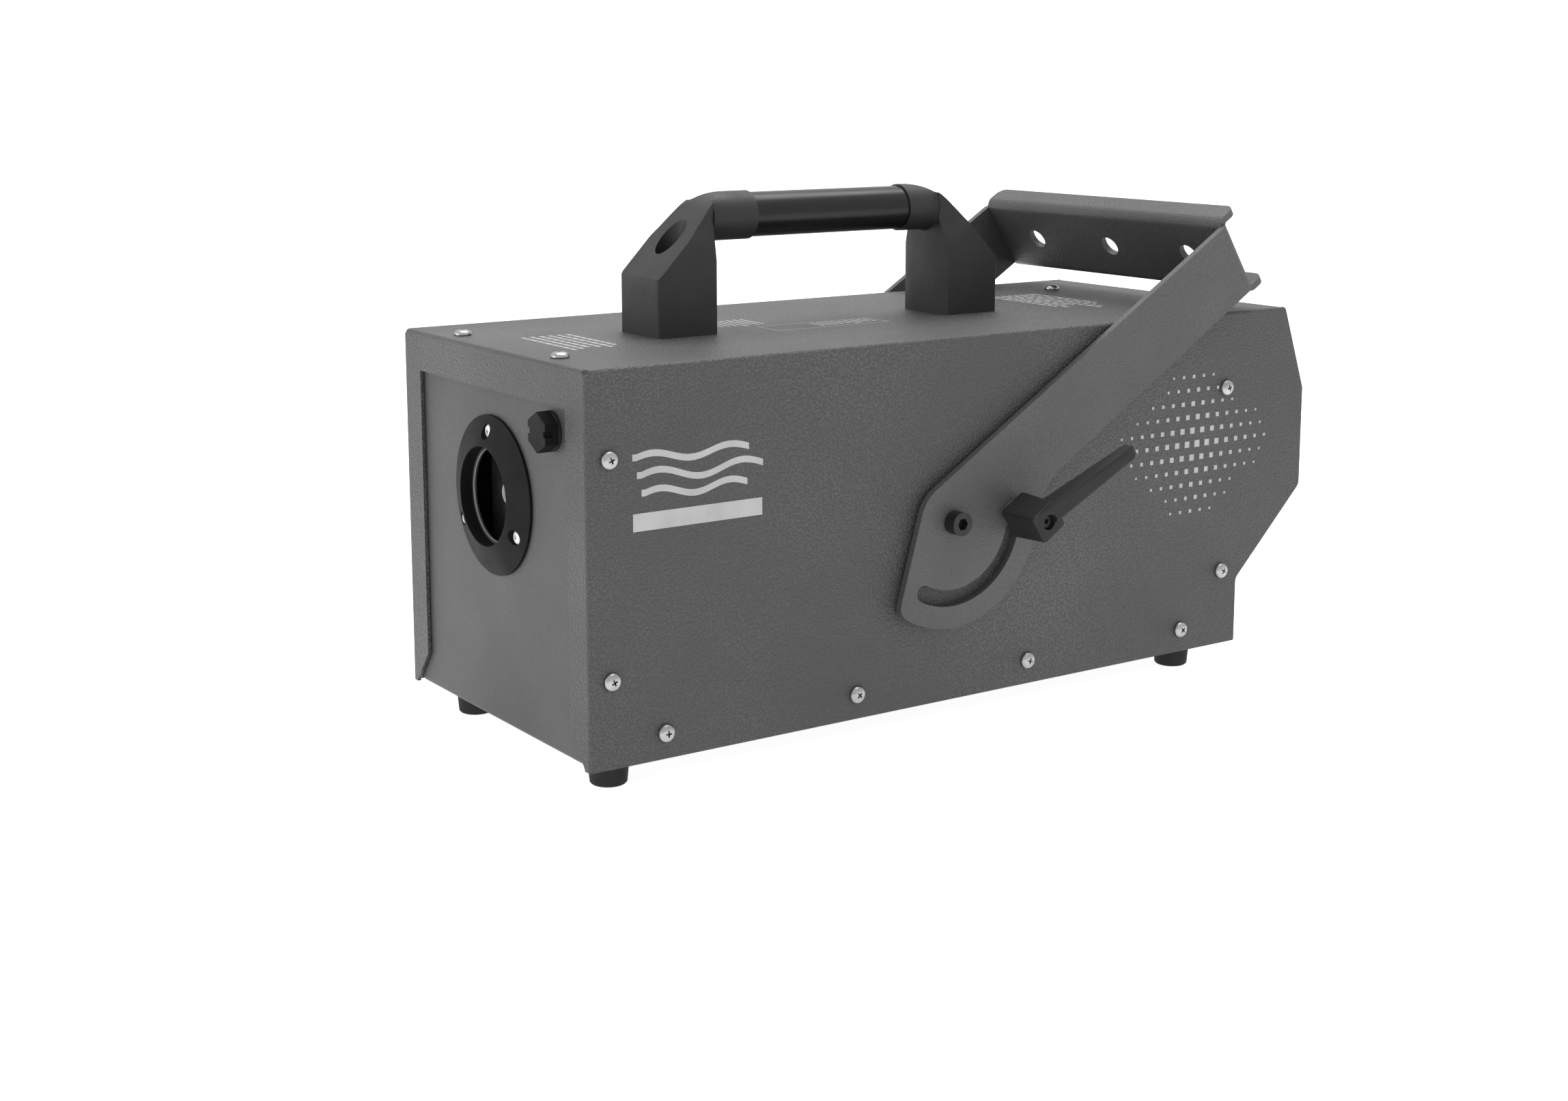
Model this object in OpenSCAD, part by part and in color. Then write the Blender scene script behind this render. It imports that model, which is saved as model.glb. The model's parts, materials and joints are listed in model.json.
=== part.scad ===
// Fog machine on a clamped U-shaped yoke, as an assembly of separate pieces.
// Millimetres, +Z up, the fog outlet faces -Y, the feet stand on Z = 0,
// and the origin is the middle of the outline at the bottom of the feet.
// Pieces are laid out in a body frame whose Y = 0 is the front of the cover,
// and place() moves that frame to the final origin.

/* [Body] */
// Width of the sheet steel body over its sides
body_w = 204; // [160:1:260]
// Height of the cover without feet or handle
body_h = 200.5; // [165:0.5:250]
// Length from the front of the cover to the foot of the rear cheeks
body_l = 445; // [370:1:560]
// Thickness of the cover sheet
cover_t = 2; // [1.5:0.1:2.5]
// Thickness of the tray and rear panel sheet
tray_t = 2; // [1.5:0.1:2.5]
// Gap between the cover and the sheets inside it
sheet_gap = 0.4; // [0.2:0.1:0.8]
// Radius of the outer bends of the cover
bend_r = 2; // [2:0.1:4]
// Width of the front flanges at the sides
flange_w = 20; // [15:0.1:25]
// Height of the front flange along the top
flange_h = 21.4; // [15:0.1:28]
// How far the top runs past the foot of the rear cheeks
roof_over = 32; // [20:1:45]
// How far the cheeks run past their foot
cheek_over = 52; // [34:1:70]

/* [Feet] */
// Height of the rubber feet
foot_h = 16.5; // [10:0.5:25]
// Diameter of a foot where it meets the tray
foot_top_d = 22.4; // [16:0.1:28]
// Diameter of a foot at the floor
foot_low_d = 19.4; // [13:0.1:28]
// Inset of the feet from the sides
foot_inset = 27; // [18:0.5:45]
// Inset of the feet from the front and rear
foot_end_inset = 25.5; // [18:0.5:45]

/* [Screws] */
// Diameter of the cover screws
screw_d = 5; // [4:0.5:6]
// Diameter of the cover screw heads
screw_head_d = 9.6; // [8:0.1:12]
// Radial clearance of screws in the holes they turn in
thread_gap = 0.05; // [0.02:0.01:0.1]
// Radial clearance of screws in the cover holes
pass_gap = 0.3; // [0.2:0.1:0.6]

/* [Fog outlet] */
// Height of the outlet axis below the top of the cover
outlet_drop = 77.5; // [60:0.5:100]
// Outer diameter of the black conical ring
ring_d = 84.5; // [70:0.5:100]
// Diameter of the opening in the ring
ring_bore_d = 52.5; // [40:0.5:60]
// Height of the cone between its rim and its mouth
cone_h = 5.4; // [3:0.1:9]
// Diameter of the circle of the ring screws
ring_screw_pcd = 67.6; // [60:0.2:76]
// Sideways distance of the vent plug from the middle
vent_x = 64.4; // [50:0.2:75]
// Height of the vent plug below the top of the cover
vent_drop = 34.6; // [28:0.2:60]
// Size of the hexagonal vent plug across its corners
vent_d = 21; // [16:0.5:26]
// Height of the vent plug
vent_h = 7.3; // [5:0.1:10]

/* [Handle] */
// Distance between the outer faces of the handle legs
handle_span = 232; // [180:0.5:270]
// Length of a leg along the body
leg_l = 39; // [30:0.1:48]
// Width of a leg across the body
leg_w = 41; // [34:0.5:50]
// Height of the tube axis above the cover
grip_axis_h = 62.2; // [50:0.2:80]
// Outer diameter of the handle tube
grip_d = 24.8; // [20:0.2:30]
// Wall of the handle tube
grip_wall = 2.4; // [1.5:0.1:4]
// Diameter of the collars that hold the tube
collar_d = 26.8; // [23:0.2:34]
// Length of the front collar past its leg
collar_l = 29.5; // [18:0.5:40]
// Length of the rear collar past its leg
rear_collar_l = 20; // [16:0.5:40]

/* [Yoke] */
// Thickness of the yoke plate
yoke_t = 4; // [3:0.1:5]
// Gap between the body and the yoke arms
yoke_gap = 2.6; // [2:0.1:6]
// Width of an arm
arm_w = 44.4; // [36:0.2:56]
// Gap between the top of the cover and the crossbar as it stands
yoke_clear = 9.6; // [6:0.1:40]
// Angle of the arms above horizontal as they stand
yoke_tilt = 32; // [20:1:60]
// Diameter of the pivot screws and lever studs
pivot_d = 8; // [6:0.5:10]
// Distance from the pivot to the clamping stud
slot_r = 42; // [36:0.5:52]
// Radial clearance of the stud in the curved slot
slot_gap = 0.6; // [0.4:0.1:1]
// Angle that the yoke can swing
swing = 116; // [60:1:130]
// Depth of the crossbar lips
lip_l = 16; // [10:0.5:24]
// Distance over the two lips
lip_span = 52; // [47:0.5:66]
// Diameter of the holes in the crossbar
clamp_hole_d = 13; // [10:0.5:16]
// Distance between neighbouring crossbar holes
clamp_pitch = 68.3; // [50:0.1:80]

/* [Clamping levers] */
// Side of the square lever hub at its face
hub_w = 17.2; // [15:0.2:22]
// How much wider the hub is at its foot
hub_flare = 1.4; // [0:0.1:3]
// Depth of the lever screw below the hub face
recess_depth = 2.2; // [1:0.1:6]
// Height that the tip of a lever rises above its hub
lever_rise = 13; // [0:0.5:20]
// Length of a lever from its axis to its tip
lever_l = 62; // [50:1:80]
// Distance that a lever lifts to be turned freely
lever_lift = 4.5; // [4:0.1:6]

/* [Heater] */
// Length of the heater block
heater_l = 170; // [120:1:220]
// Width of the heater block
heater_w = 84; // [60:1:100]
// Height of the heater block
heater_h = 54; // [40:1:70]
// Thickness of the heater insulation
jacket_t = 8; // [5:0.5:12]

/* [Pump and boards] */
// Sideways distance of the pump axis from the middle
pump_x = -32; // [-45:1:-20]
// Height of the pump axis above the floor of the tray
pump_axis_h = 36; // [32:1:60]
// Outer diameter of the fluid hoses
hose_d = 8; // [6:0.5:10]
// Length of the power board
board_l = 130; // [90:1:150]
// Width of the power board
board_w = 62; // [50:1:70]

/* [Rear controls] */
// Diameter of the menu buttons
button_d = 9; // [7:0.5:11]
// Distance between menu buttons
button_pitch = 17; // [14:0.5:20]
// Travel of the menu buttons
button_travel = 1.2; // [0.6:0.1:2]
// Radial clearance of the buttons in the panel
button_gap = 0.3; // [0.2:0.05:0.6]
// Width of the display window
window_w = 62; // [45:1:75]
// Height of the display window
window_h = 20; // [14:1:28]

/* [Hidden] */
$fn = 48;
eps = 0.01;
half_w = body_w / 2;
top_z = foot_h + body_h;
roof_l = body_l + roof_over;
cheek_l = body_l + cheek_over;
notch_r = 3.2;
in_w = half_w - cover_t - sheet_gap;
panel_y = cover_t + sheet_gap;
rear_y = body_l - 2.5;
tray_z = foot_h + sheet_gap;
floor_z = tray_z + tray_t;
lid_z = top_z - cover_t - sheet_gap;
front_screw_y = 12.9;
rear_screw_y = body_l - 13.2;
row_z = foot_h + 13.5;
row_y = [for (i = [0:3]) 43.6 + i * (body_l - 43.6 - 45.4) / 3];
side_screw_z = [top_z - 44.7, foot_h + 45];
roof_screw_x = 54.5;
head_h = 3.1;
flange_l = 22;
outlet_z = top_z - outlet_drop;
ring_y = panel_y - 1.5;
ring_front_y = ring_y - cone_h;
vent_z = top_z - vent_drop;
vent_back_y = panel_y - 1.5;
vent_front_y = vent_back_y - vent_h;
front_y = min(ring_front_y, vent_front_y);
place_y = -(front_y + cheek_l) / 2;

pivot_y = body_l / 2 - 1;
pivot_z = foot_h + body_h / 2 + 1;
arm_in_x = half_w + yoke_gap;
arm_out_x = arm_in_x + yoke_t;
side_gap = 0.3;
bush_r = pivot_d / 2 + 1.5;
bush_gap = 0.05;
plate_t = 6;
plate_x = half_w - cover_t - plate_t;
stud_y = pivot_y + slot_r;
lobe_r = slot_r + pivot_d / 2 + slot_gap + 12.3;
blend_r = 40;
blend_u = sqrt(pow(lobe_r + blend_r, 2) - pow(arm_w / 2 + blend_r, 2));
blend_a = atan2(arm_w / 2 + blend_r, blend_u);
slot_from = 2 - yoke_tilt;
slot_to = slot_from - swing - 4;
back_r = arm_w / 2;
back_a = slot_to + 282;
heel_r = 8;
heel_s = sqrt(pow(lobe_r - heel_r, 2) - pow(back_r - heel_r, 2));
heel_a = atan2(heel_s, back_r - heel_r);
yoke_reach = yoke_t + (top_z - pivot_z + yoke_clear + lip_span / 2 * cos(yoke_tilt)) / sin(yoke_tilt);
arm_end = yoke_reach - 10;
lip_half = arm_in_x + 0.5;
lip_end = yoke_reach - yoke_t + lip_l;
slot_w = pivot_d + 2 * slot_gap;
hub_x = arm_out_x + side_gap;
skirt_h = 3.2;
boss_r = pivot_d / 2 + 1.8;
tooth_h = 0.7;
tooth_l = lever_lift - 0.5;
boss_l = 13;
boss_x = hub_x + skirt_h;
shoulder_t = 2;
spring_l = 5.5;
shoulder_x = boss_x + boss_l + 0.6;
cap_x = shoulder_x + shoulder_t + spring_l;
cap_r = 3.9;
cap_h = 2.6;
face_x = cap_x + cap_h + recess_depth;
recess_r = cap_r + 0.5;
lever_lean = 1.5;
arm_root_w = 11;
arm_tip_w = 7.6;
arm_root_h = 9;
arm_tip_h = 6.6;
arm_z = hub_w / 2 - 0.6 - arm_root_w / 2;
tooth_n = 18;
ring_screw_d = 4;
ring_head_d = 7.6;
ring_head_h = 2;
ring_seat_h = 0.1;
ring_key_d = 2.9;
vent_stem_r = 6;
panel_screw_d = 3;
power_screw_x = 20;
power_flange_t = 2.6;
data_screw_x = 9.5;
data_screw_z = 12;
data_flange_t = 2;
data_body_r = 11.8;
breaker_r = 6;
breaker_button_r = 3.3;
coupling_r = 8;

grip_z = top_z + grip_axis_h;
front_leg_y = pivot_y - 14.5 - handle_span / 2;
knee_h = 31.2;
knee_slope = 46;
handle_top = grip_axis_h + collar_d / 2;
slant_end = (handle_top - knee_h) / tan(knee_slope);
leg_blend = 1.5;
neck_half = collar_d / 2 + 0.4;
neck_r = 70;
neck_l = 18;
neck_low = grip_axis_h - collar_d / 2 - 9;
neck_high = neck_low + 16;
tube_grip = 13.5;
handle_hole_y = 20.3;
handle_hole_r = 8.6;
handle_seat_h = 14;
press_gap = 0.05;

heater_y = 22;
heater_end = heater_y + heater_l;
tip_y = 9.5;
rod_r = 6;
pump_z = floor_z + pump_axis_h;
inlet_z = outlet_z - heater_h / 2 + 15;
coil_l = 44;
pump_y = (heater_end + rear_y - coil_l) / 2 - 2;
hose_r = hose_d / 2;
elbow_r = 2.2 * hose_d;
hose_in_r = hose_r - 1.5;
barb_r = hose_in_r - thread_gap;
riser_y = heater_end + 16 + elbow_r;
inner_y = rear_y - tray_t;
board_x = in_w - tray_t - 6 - board_w;
board_y = rear_y - 26 - board_l;
board_z = floor_z + 8;
window_x = -34;
window_z = top_z - 42;
button_z = window_z - 30;
data_x = 58;
data_z = [top_z - 46, top_z - 84];
power_z = foot_h + 42;
power_x = 52;
breaker_x = 8;
switch_z = power_z + 36;
switch_x = 8;
switch_tilt = 10;

// ---- Shared shapes ----

// Moves a piece from the body frame to the final origin
module place() {
  translate([0, place_y, 0]) children();
}

// Turns a piece built along +Z so that it runs along +X, +Y or -Y
module along_x() {
  rotate([90, 0, 90]) children();
}

module along_y() {
  rotate([-90, 0, 0]) children();
}

module facing_front() {
  rotate([90, 0, 0]) children();
}

function unit(v) = v / norm(v);
function turn(a) = a > 180 ? a - 360 : a < -180 ? a + 360 : a;

// One corner of an outline as an arc of radius b.z, or as itself when that is 0
function corner(a, b, c, n) =
  let (
    p = [b.x, b.y],
    u = unit([a.x, a.y] - p),
    v = unit([c.x, c.y] - p),
    half = acos(max(-1, min(1, u * v))) / 2,
    m = p + unit(u + v) * (b.z / sin(half)),
    s = p + u * (b.z / tan(half)) - m,
    e = p + v * (b.z / tan(half)) - m,
    a0 = atan2(s.y, s.x),
    sweep = turn(atan2(e.y, e.x) - a0)
  )
  b.z <= 0 ? [p] : [for (i = [0:n]) m + b.z * [cos(a0 + sweep * i / n), sin(a0 + sweep * i / n)]];

// The outline without points that fall on the next one
function clean(p) = [for (i = [0:len(p) - 1]) if (norm(p[i] - p[(i + 1) % len(p)]) > eps / 2) p[i]];

// Closed outline from corners [x, y, radius]
function rounded(c, n = 5) = clean(
  [for (i = [0:len(c) - 1]) each corner(c[(i + len(c) - 1) % len(c)], c[i], c[(i + 1) % len(c)], n)]
);

// The direction in the plane at the angle a
function ray(a) = [cos(a), sin(a)];

function arc(m, r, a0, a1, n) = [for (i = [0:n]) m + r * ray(a0 + (a1 - a0) * i / n)];

// A box centred on X, from y and z upwards
module slab(w, y, l, z, h) {
  translate([-w / 2, y, z]) cube([w, l, h]);
}

// An outline given as [y, z], made w thick and centred on X
module side_profile(points, w) {
  translate([-w / 2, 0, 0]) rotate([90, 0, 90]) linear_extrude(w) polygon(points);
}

// An outline given as [x, z], running from y0 to y1
module front_profile(points, y0, y1) {
  translate([0, y1, 0]) rotate([90, 0, 0]) linear_extrude(y1 - y0) polygon(points);
}

// Pan head screw along Z: the head stands on Z = 0 and the shank hangs below
module pan_screw(d, head_d, h, l) {
  crown_r = (head_d * head_d / 4 + h * h) / (2 * h);
  difference() {
    union() {
      intersection() {
        translate([0, 0, h - crown_r]) sphere(crown_r, $fn = 64);
        cylinder(h = h, d = head_d);
      }
      translate([0, 0, -l]) cylinder(h = l + eps, d = d);
    }
    for (a = [0, 90]) rotate([0, 0, a])
      translate([-head_d / 4, -d / 10, h * 0.45]) cube([head_d / 2, d / 5, h]);
  }
}

// Button head screw along Z with a hexagonal socket key across its corners
module button_screw(d, head_d, h, l, key) {
  difference() {
    union() {
      cylinder(h = h / 2, d = head_d);
      translate([0, 0, h / 2 - eps]) cylinder(h = h / 2 + eps, d1 = head_d, d2 = head_d * 0.6);
      translate([0, 0, -l]) cylinder(h = l + eps, d = d);
    }
    translate([0, 0, h * 0.3]) cylinder(h = h, d = key, $fn = 6);
  }
}

// Socket head cap screw along Z, with the head above Z = 0
module cap_screw(d, l) {
  difference() {
    union() {
      cylinder(h = d * 0.97, d = d * 1.62);
      translate([0, 0, -l]) cylinder(h = l + eps, d = d);
    }
    translate([0, 0, d * 0.45]) cylinder(h = d, d = d * 0.86, $fn = 6);
  }
}

// ---- Sheet metal ----

// Positions of the screws along each side, as [y, z]
function side_screw_yz() = concat(
  [for (z = side_screw_z) [front_screw_y, z]],
  [for (y = row_y) [y, row_z]],
  [for (z = side_screw_z) [rear_screw_y, z]]
);

module side_holes(r, x0, x1) {
  for (s = [-1, 1])
    for (p = side_screw_yz())
      translate([s > 0 ? x0 : -x1, p.x, p.y]) along_x() cylinder(h = x1 - x0, r = r);
}

module roof_holes(r, z0, z1) {
  for (x = [-roof_screw_x, roof_screw_x])
    for (y = [front_screw_y, rear_screw_y]) translate([x, y, z0]) cylinder(h = z1 - z0, r = r);
}

function foot_places() = [
  for (x = [-1, 1]) for (y = [foot_end_inset, body_l - foot_end_inset]) [x * (half_w - foot_inset), y]
];

// Outline of a cheek and of the whole side, as [y, z, radius]
function side_outline() = rounded([
  [0, foot_h, 0],
  [0, top_z, bend_r],
  [roof_l + 2.7, top_z, 0.6],
  [cheek_l, top_z - 50, 6],
  [cheek_l, foot_h + 90.5, 6],
  [body_l, foot_h + 38.5, 6],
  [body_l, foot_h, 1]
]);

module cover() color("#5e5e60") place() difference() {
  intersection() {
    front_profile(rounded([
      [-half_w, foot_h, 0], [-half_w, top_z, bend_r], [half_w, top_z, bend_r], [half_w, foot_h, 0]
    ]), 0, cheek_l);
    side_profile(side_outline(), body_w);
    translate([0, 0, foot_h]) linear_extrude(body_h) polygon(rounded([
      [-half_w, 0, bend_r], [half_w, 0, bend_r], [half_w, cheek_l, 0], [-half_w, cheek_l, 0]
    ]));
  }
  slab(body_w - 2 * cover_t, cover_t, cheek_l, foot_h - 1, body_h + 1 - cover_t);
  slab(body_w - 2 * cover_t, roof_l, cheek_over, foot_h, body_h + 1);
  // front opening, whose side flanges taper to a point at the floor
  front_profile([
    [-half_w + 5.5, foot_h - 1], [-half_w + 5.5, foot_h + 1], [-half_w + flange_w, foot_h + 19.5],
    [-half_w + flange_w, top_z - flange_h], [half_w - flange_w, top_z - flange_h],
    [half_w - flange_w, foot_h + 19.5], [half_w - 5.5, foot_h + 1], [half_w - 5.5, foot_h - 1]
  ], -1, cover_t + 1);
  // relief notches where three bends meet
  for (x = [-half_w, half_w]) translate([x, 0, top_z]) sphere(notch_r);
  side_holes(screw_d / 2 + pass_gap, half_w - cover_t - 1, half_w + 1);
  roof_holes(screw_d / 2 + pass_gap, top_z - cover_t - 1, top_z + 1);
  for (y = handle_screw_y()) translate([0, y, top_z - cover_t - 1])
    cylinder(h = cover_t + 2, r = pivot_d / 2 + pass_gap);
  for (y = [pivot_y, stud_y])
    translate([-half_w - 1, y, pivot_z]) along_x() cylinder(h = body_w + 2, r = pivot_d / 2 + pass_gap);
}

module base_tray() color("#5a5a5c") place() difference() {
  union() {
    // floor and front wall, bent from one sheet
    side_profile(rounded([
      [rear_y - tray_t - sheet_gap, tray_z, 0],
      [panel_y, tray_z, 3],
      [panel_y, lid_z, 2],
      [panel_y + flange_l, lid_z, 0],
      [panel_y + flange_l, lid_z - tray_t, 0],
      [panel_y + tray_t, lid_z - tray_t, 0],
      [panel_y + tray_t, floor_z, 1],
      [rear_y - tray_t - sheet_gap, floor_z, 0]
    ]), 2 * in_w - 12);
    slab(2 * in_w, panel_y + 3, rear_y - panel_y - 3 - tray_t - sheet_gap, tray_z, tray_t);
    slab(2 * in_w, panel_y, tray_t, floor_z + 3, lid_z - floor_z - 6);
    for (s = [-1, 1]) translate([s * (in_w - tray_t / 2), 0, 0]) {
      slab(tray_t, panel_y + 3, rear_y - panel_y - 3 - tray_t - sheet_gap, tray_z, 26);
      slab(tray_t, panel_y, flange_l, floor_z + 3, lid_z - floor_z - 6);
    }
  }
  side_holes(screw_d / 2 + thread_gap, in_w - tray_t - 1, in_w + 1);
  roof_holes(screw_d / 2 + thread_gap, lid_z - tray_t - 1, lid_z + 1);
  translate([0, panel_y - 1, outlet_z]) along_y() cylinder(h = tray_t + 2, d = ring_bore_d - 2.4);
  translate([vent_x, panel_y - 1, vent_z]) along_y() cylinder(h = tray_t + 2, r = vent_stem_r + 0.3);
  for (p = foot_places()) translate([p.x, p.y, tray_z - 1])
    cylinder(h = tray_t + 2, r = screw_d / 2 + thread_gap);
  ring_screw_places() translate([0, 0, -tray_t - 3])
    cylinder(h = tray_t + 4, r = ring_screw_d / 2 + thread_gap);
}

module rear_panel() color("#5c5c5e") place() difference() {
  union() {
    slab(2 * in_w, rear_y - tray_t, tray_t, floor_z + sheet_gap, lid_z - floor_z - sheet_gap);
    for (s = [-1, 1]) translate([s * (in_w - tray_t / 2), 0, 0])
      slab(tray_t, rear_y - flange_l, flange_l, foot_h + 32, lid_z - foot_h - 32);
    slab(2 * in_w - 12, rear_y - flange_l, flange_l, lid_z - tray_t, tray_t);
  }
  side_holes(screw_d / 2 + thread_gap, in_w - tray_t - 1, in_w + 1);
  roof_holes(screw_d / 2 + thread_gap, lid_z - tray_t - 1, lid_z + 1);
  translate([window_x, 0, 0])
    slab(window_w - 4, rear_y - 5, 10, window_z - window_h / 2 + 2, window_h - 4);
  for (i = [0:3]) panel_hole([button_x(i), button_z], button_d / 2 + button_gap);
  for (z = data_z) panel_hole([data_x, z], data_body_r + 0.2);
  translate([power_x, 0, 0]) slab(28.4, rear_y - 5, 10, power_z - 10.4, 20.8);
  translate([switch_x, 0, 0]) slab(19.4, rear_y - 5, 10, switch_z - 6.7, 13.4);
  panel_hole([breaker_x, power_z], breaker_r + 0.2);
  panel_hole([pump_x, pump_z], coupling_r + 0.2);
  for (p = panel_screw_xz()) panel_hole(p, panel_screw_d / 2 + thread_gap);
}

// A round hole through the rear panel at [x, z]
module panel_hole(p, r) {
  translate([p.x, rear_y - 5, p.y]) along_y() cylinder(h = 10, r = r);
}

// Screw places [x, z] of the mains inlet and of both data connectors
function power_screw_xz() = [for (s = [-1, 1]) [power_x + s * power_screw_x, power_z]];

function data_screw_xz() = [
  for (z = data_z) for (s = [-1, 1]) [data_x + s * data_screw_x, z - s * data_screw_z]
];

function panel_screw_xz() = concat(power_screw_xz(), data_screw_xz());

module side_screws() color("silver") place()
  for (s = [0, 1]) mirror([s, 0, 0]) for (p = side_screw_yz())
    translate([half_w, p.x, p.y]) along_x() pan_screw(screw_d, screw_head_d, head_h, 8);

module top_screws() color("silver") place()
  for (x = [-roof_screw_x, roof_screw_x]) for (y = [front_screw_y, rear_screw_y])
    translate([x, y, top_z]) pan_screw(screw_d, screw_head_d, head_h, 8);

module rubber_feet() color("#1d1d1e") place()
  for (p = foot_places()) translate([p.x, p.y, 0]) difference() {
    union() {
      cylinder(h = 1.2, d1 = foot_low_d - 2, d2 = foot_low_d);
      translate([0, 0, 1.2]) cylinder(h = foot_h + sheet_gap - 1.2, d1 = foot_low_d, d2 = foot_top_d);
    }
    translate([0, 0, -1]) cylinder(h = 9, r = screw_head_d / 2 + 0.4);
    cylinder(h = foot_h + 1, r = screw_d / 2 + thread_gap);
  }

module foot_screws() color("silver") place()
  for (p = foot_places()) translate([p.x, p.y, 8]) rotate([180, 0, 0])
    pan_screw(screw_d, screw_head_d, head_h, floor_z - 8 + 4);

// ---- Fog outlet and vent ----

module ring_screw_places() {
  for (a = [90, 210, 330]) {
    p = ring_screw_pcd / 2 * ray(a);
    translate([p.x, ring_y, outlet_z + p.y]) facing_front() children();
  }
}

module nozzle_ring() color("#2b2b2c") place() difference() {
  translate([0, panel_y, outlet_z]) facing_front() {
    cylinder(h = panel_y - ring_y + eps, d = ring_d, $fn = 96);
    translate([0, 0, panel_y - ring_y])
      cylinder(h = cone_h, d1 = ring_d, d2 = ring_bore_d + 1.2, $fn = 96);
  }
  translate([0, panel_y + 1, outlet_z]) facing_front()
    cylinder(h = cone_h + 6, d = ring_bore_d, $fn = 96);
  ring_screw_places() {
    translate([0, 0, ring_seat_h]) cylinder(h = cone_h, r = ring_head_d / 2 + 0.3);
    translate([0, 0, -3]) cylinder(h = cone_h, r = ring_screw_d / 2 + pass_gap);
  }
}

module ring_screws() color("silver") place() ring_screw_places()
  translate([0, 0, ring_seat_h]) button_screw(ring_screw_d, ring_head_d, ring_head_h, 5, ring_key_d);

module vent_plug() color("#2b2b2c") place()
  translate([vent_x, vent_back_y, vent_z]) facing_front() difference() {
    union() {
      rotate([0, 0, 90]) cylinder(h = vent_h, d = vent_d, $fn = 6);
      translate([0, 0, -13]) cylinder(h = 13 + eps, r = vent_stem_r);
    }
    for (s = [-1, 1])
      translate([s * vent_d * 0.433 - 1.8, -1.5, vent_h * 0.32]) cube([3.6, 3, vent_h]);
    translate([0, 0, -14]) cylinder(h = 14 + vent_h / 2, r = 3.5);
  }

module vent_gasket() color("#161616") place()
  translate([vent_x, panel_y, vent_z]) facing_front() difference() {
    cylinder(h = panel_y - vent_back_y, r = vent_d / 2 - 0.2);
    translate([0, 0, -1]) cylinder(h = 5, r = vent_stem_r + 0.1);
  }

module vent_nut() color("#2b2b2c") place()
  translate([vent_x, panel_y + tray_t, vent_z]) along_y() difference() {
    cylinder(h = 5, d = vent_d - 1, $fn = 6);
    translate([0, 0, -1]) cylinder(h = 7, r = vent_stem_r + thread_gap);
  }

// ---- Handle ----

function handle_screw_y() = [front_leg_y + handle_hole_y, front_leg_y + handle_span - handle_hole_y];

// Plan of a leg, whose corners beside the collar run in to the half width neck over the length run
function leg_plan(neck, run, r) = rounded([
  [-leg_w / 2, 0, 2.5], [leg_w / 2, 0, 2.5], [leg_w / 2, leg_l - run, r],
  [neck, leg_l, 0], [-neck, leg_l, 0], [-leg_w / 2, leg_l - run, r]
], 6);

// One leg with its outer face at Y = 0 and its foot at Z = 0, with a collar of length l along +Y
module handle_leg(l) difference() {
  intersection() {
    side_profile(rounded([
      [0, 0, 0], [leg_l + l, 0, 0], [leg_l + l, handle_top, 0],
      [slant_end, handle_top, 28], [0, knee_h, 1.5]
    ], 10), leg_w);
    front_profile(rounded([
      [-leg_w / 2, 0, 0], [leg_w / 2, 0, 0],
      [leg_w / 2, handle_top, collar_d / 2], [-leg_w / 2, handle_top, collar_d / 2]
    ], 12), 0, leg_l + l);
    union() {
      linear_extrude(neck_low) polygon(leg_plan(leg_w / 4, 2.5, 0));
      // the corners grow rounder towards the collar
      hull() {
        translate([0, 0, neck_low - eps]) linear_extrude(eps)
          polygon(leg_plan(leg_w / 4, 2.5, 0));
        translate([0, 0, neck_high]) linear_extrude(eps)
          polygon(leg_plan(neck_half, neck_l, neck_r));
      }
      translate([0, 0, neck_high]) linear_extrude(handle_top - neck_high)
        polygon(leg_plan(neck_half, neck_l, neck_r));
      translate([0, leg_l - 8, grip_axis_h]) along_y() cylinder(h = l + 8, d = collar_d, $fn = 72);
      // small fillet between the leg and its collar
      translate([0, leg_l - 4, grip_axis_h]) along_y() rotate_extrude($fn = 72) polygon(concat(
        [[0, 0]],
        arc([collar_d / 2 + leg_blend, 4 + leg_blend], leg_blend, 270, 180, 6),
        [[0, 4 + leg_blend]]
      ));
    }
  }
  translate([0, leg_l + l - tube_grip - 0.5, grip_axis_h]) along_y()
    cylinder(h = tube_grip + 2, r = grip_d / 2 + press_gap, $fn = 72);
  translate([0, handle_hole_y, handle_seat_h]) cylinder(h = handle_top, r = handle_hole_r);
  translate([0, handle_hole_y, -1]) cylinder(h = handle_top, r = pivot_d / 2 + pass_gap);
}

module handle_front_leg() color("#2f2f30") place() translate([0, front_leg_y, top_z]) handle_leg(collar_l);

module handle_rear_leg() color("#2f2f30") place()
  translate([0, front_leg_y + handle_span, top_z]) mirror([0, 1, 0]) handle_leg(rear_collar_l);

module handle_tube() color("#3a3a3b") place()
  translate([0, front_leg_y + leg_l + collar_l - tube_grip, grip_z]) along_y() difference() {
    cylinder(h = handle_span - 2 * leg_l - collar_l - rear_collar_l + 2 * tube_grip, d = grip_d, $fn = 72);
    translate([0, 0, -1]) cylinder(h = handle_span, r = grip_d / 2 - grip_wall);
  }

module handle_screws() color("#3a3a3b") place() for (y = handle_screw_y())
  translate([0, y, top_z + handle_seat_h]) cap_screw(pivot_d, handle_seat_h + cover_t + 8);

// ---- Yoke and its pivots ----

module pivot_plates() color("gray") place() for (s = [0, 1]) mirror([s, 0, 0]) difference() {
  translate([plate_x, pivot_y - 22, pivot_z - 24]) cube([plate_t - eps, slot_r + 44, 48]);
  for (y = [pivot_y, stud_y]) translate([plate_x - 1, y, pivot_z]) along_x()
    cylinder(h = plate_t + 2, r = pivot_d / 2 + thread_gap);
}

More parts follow.
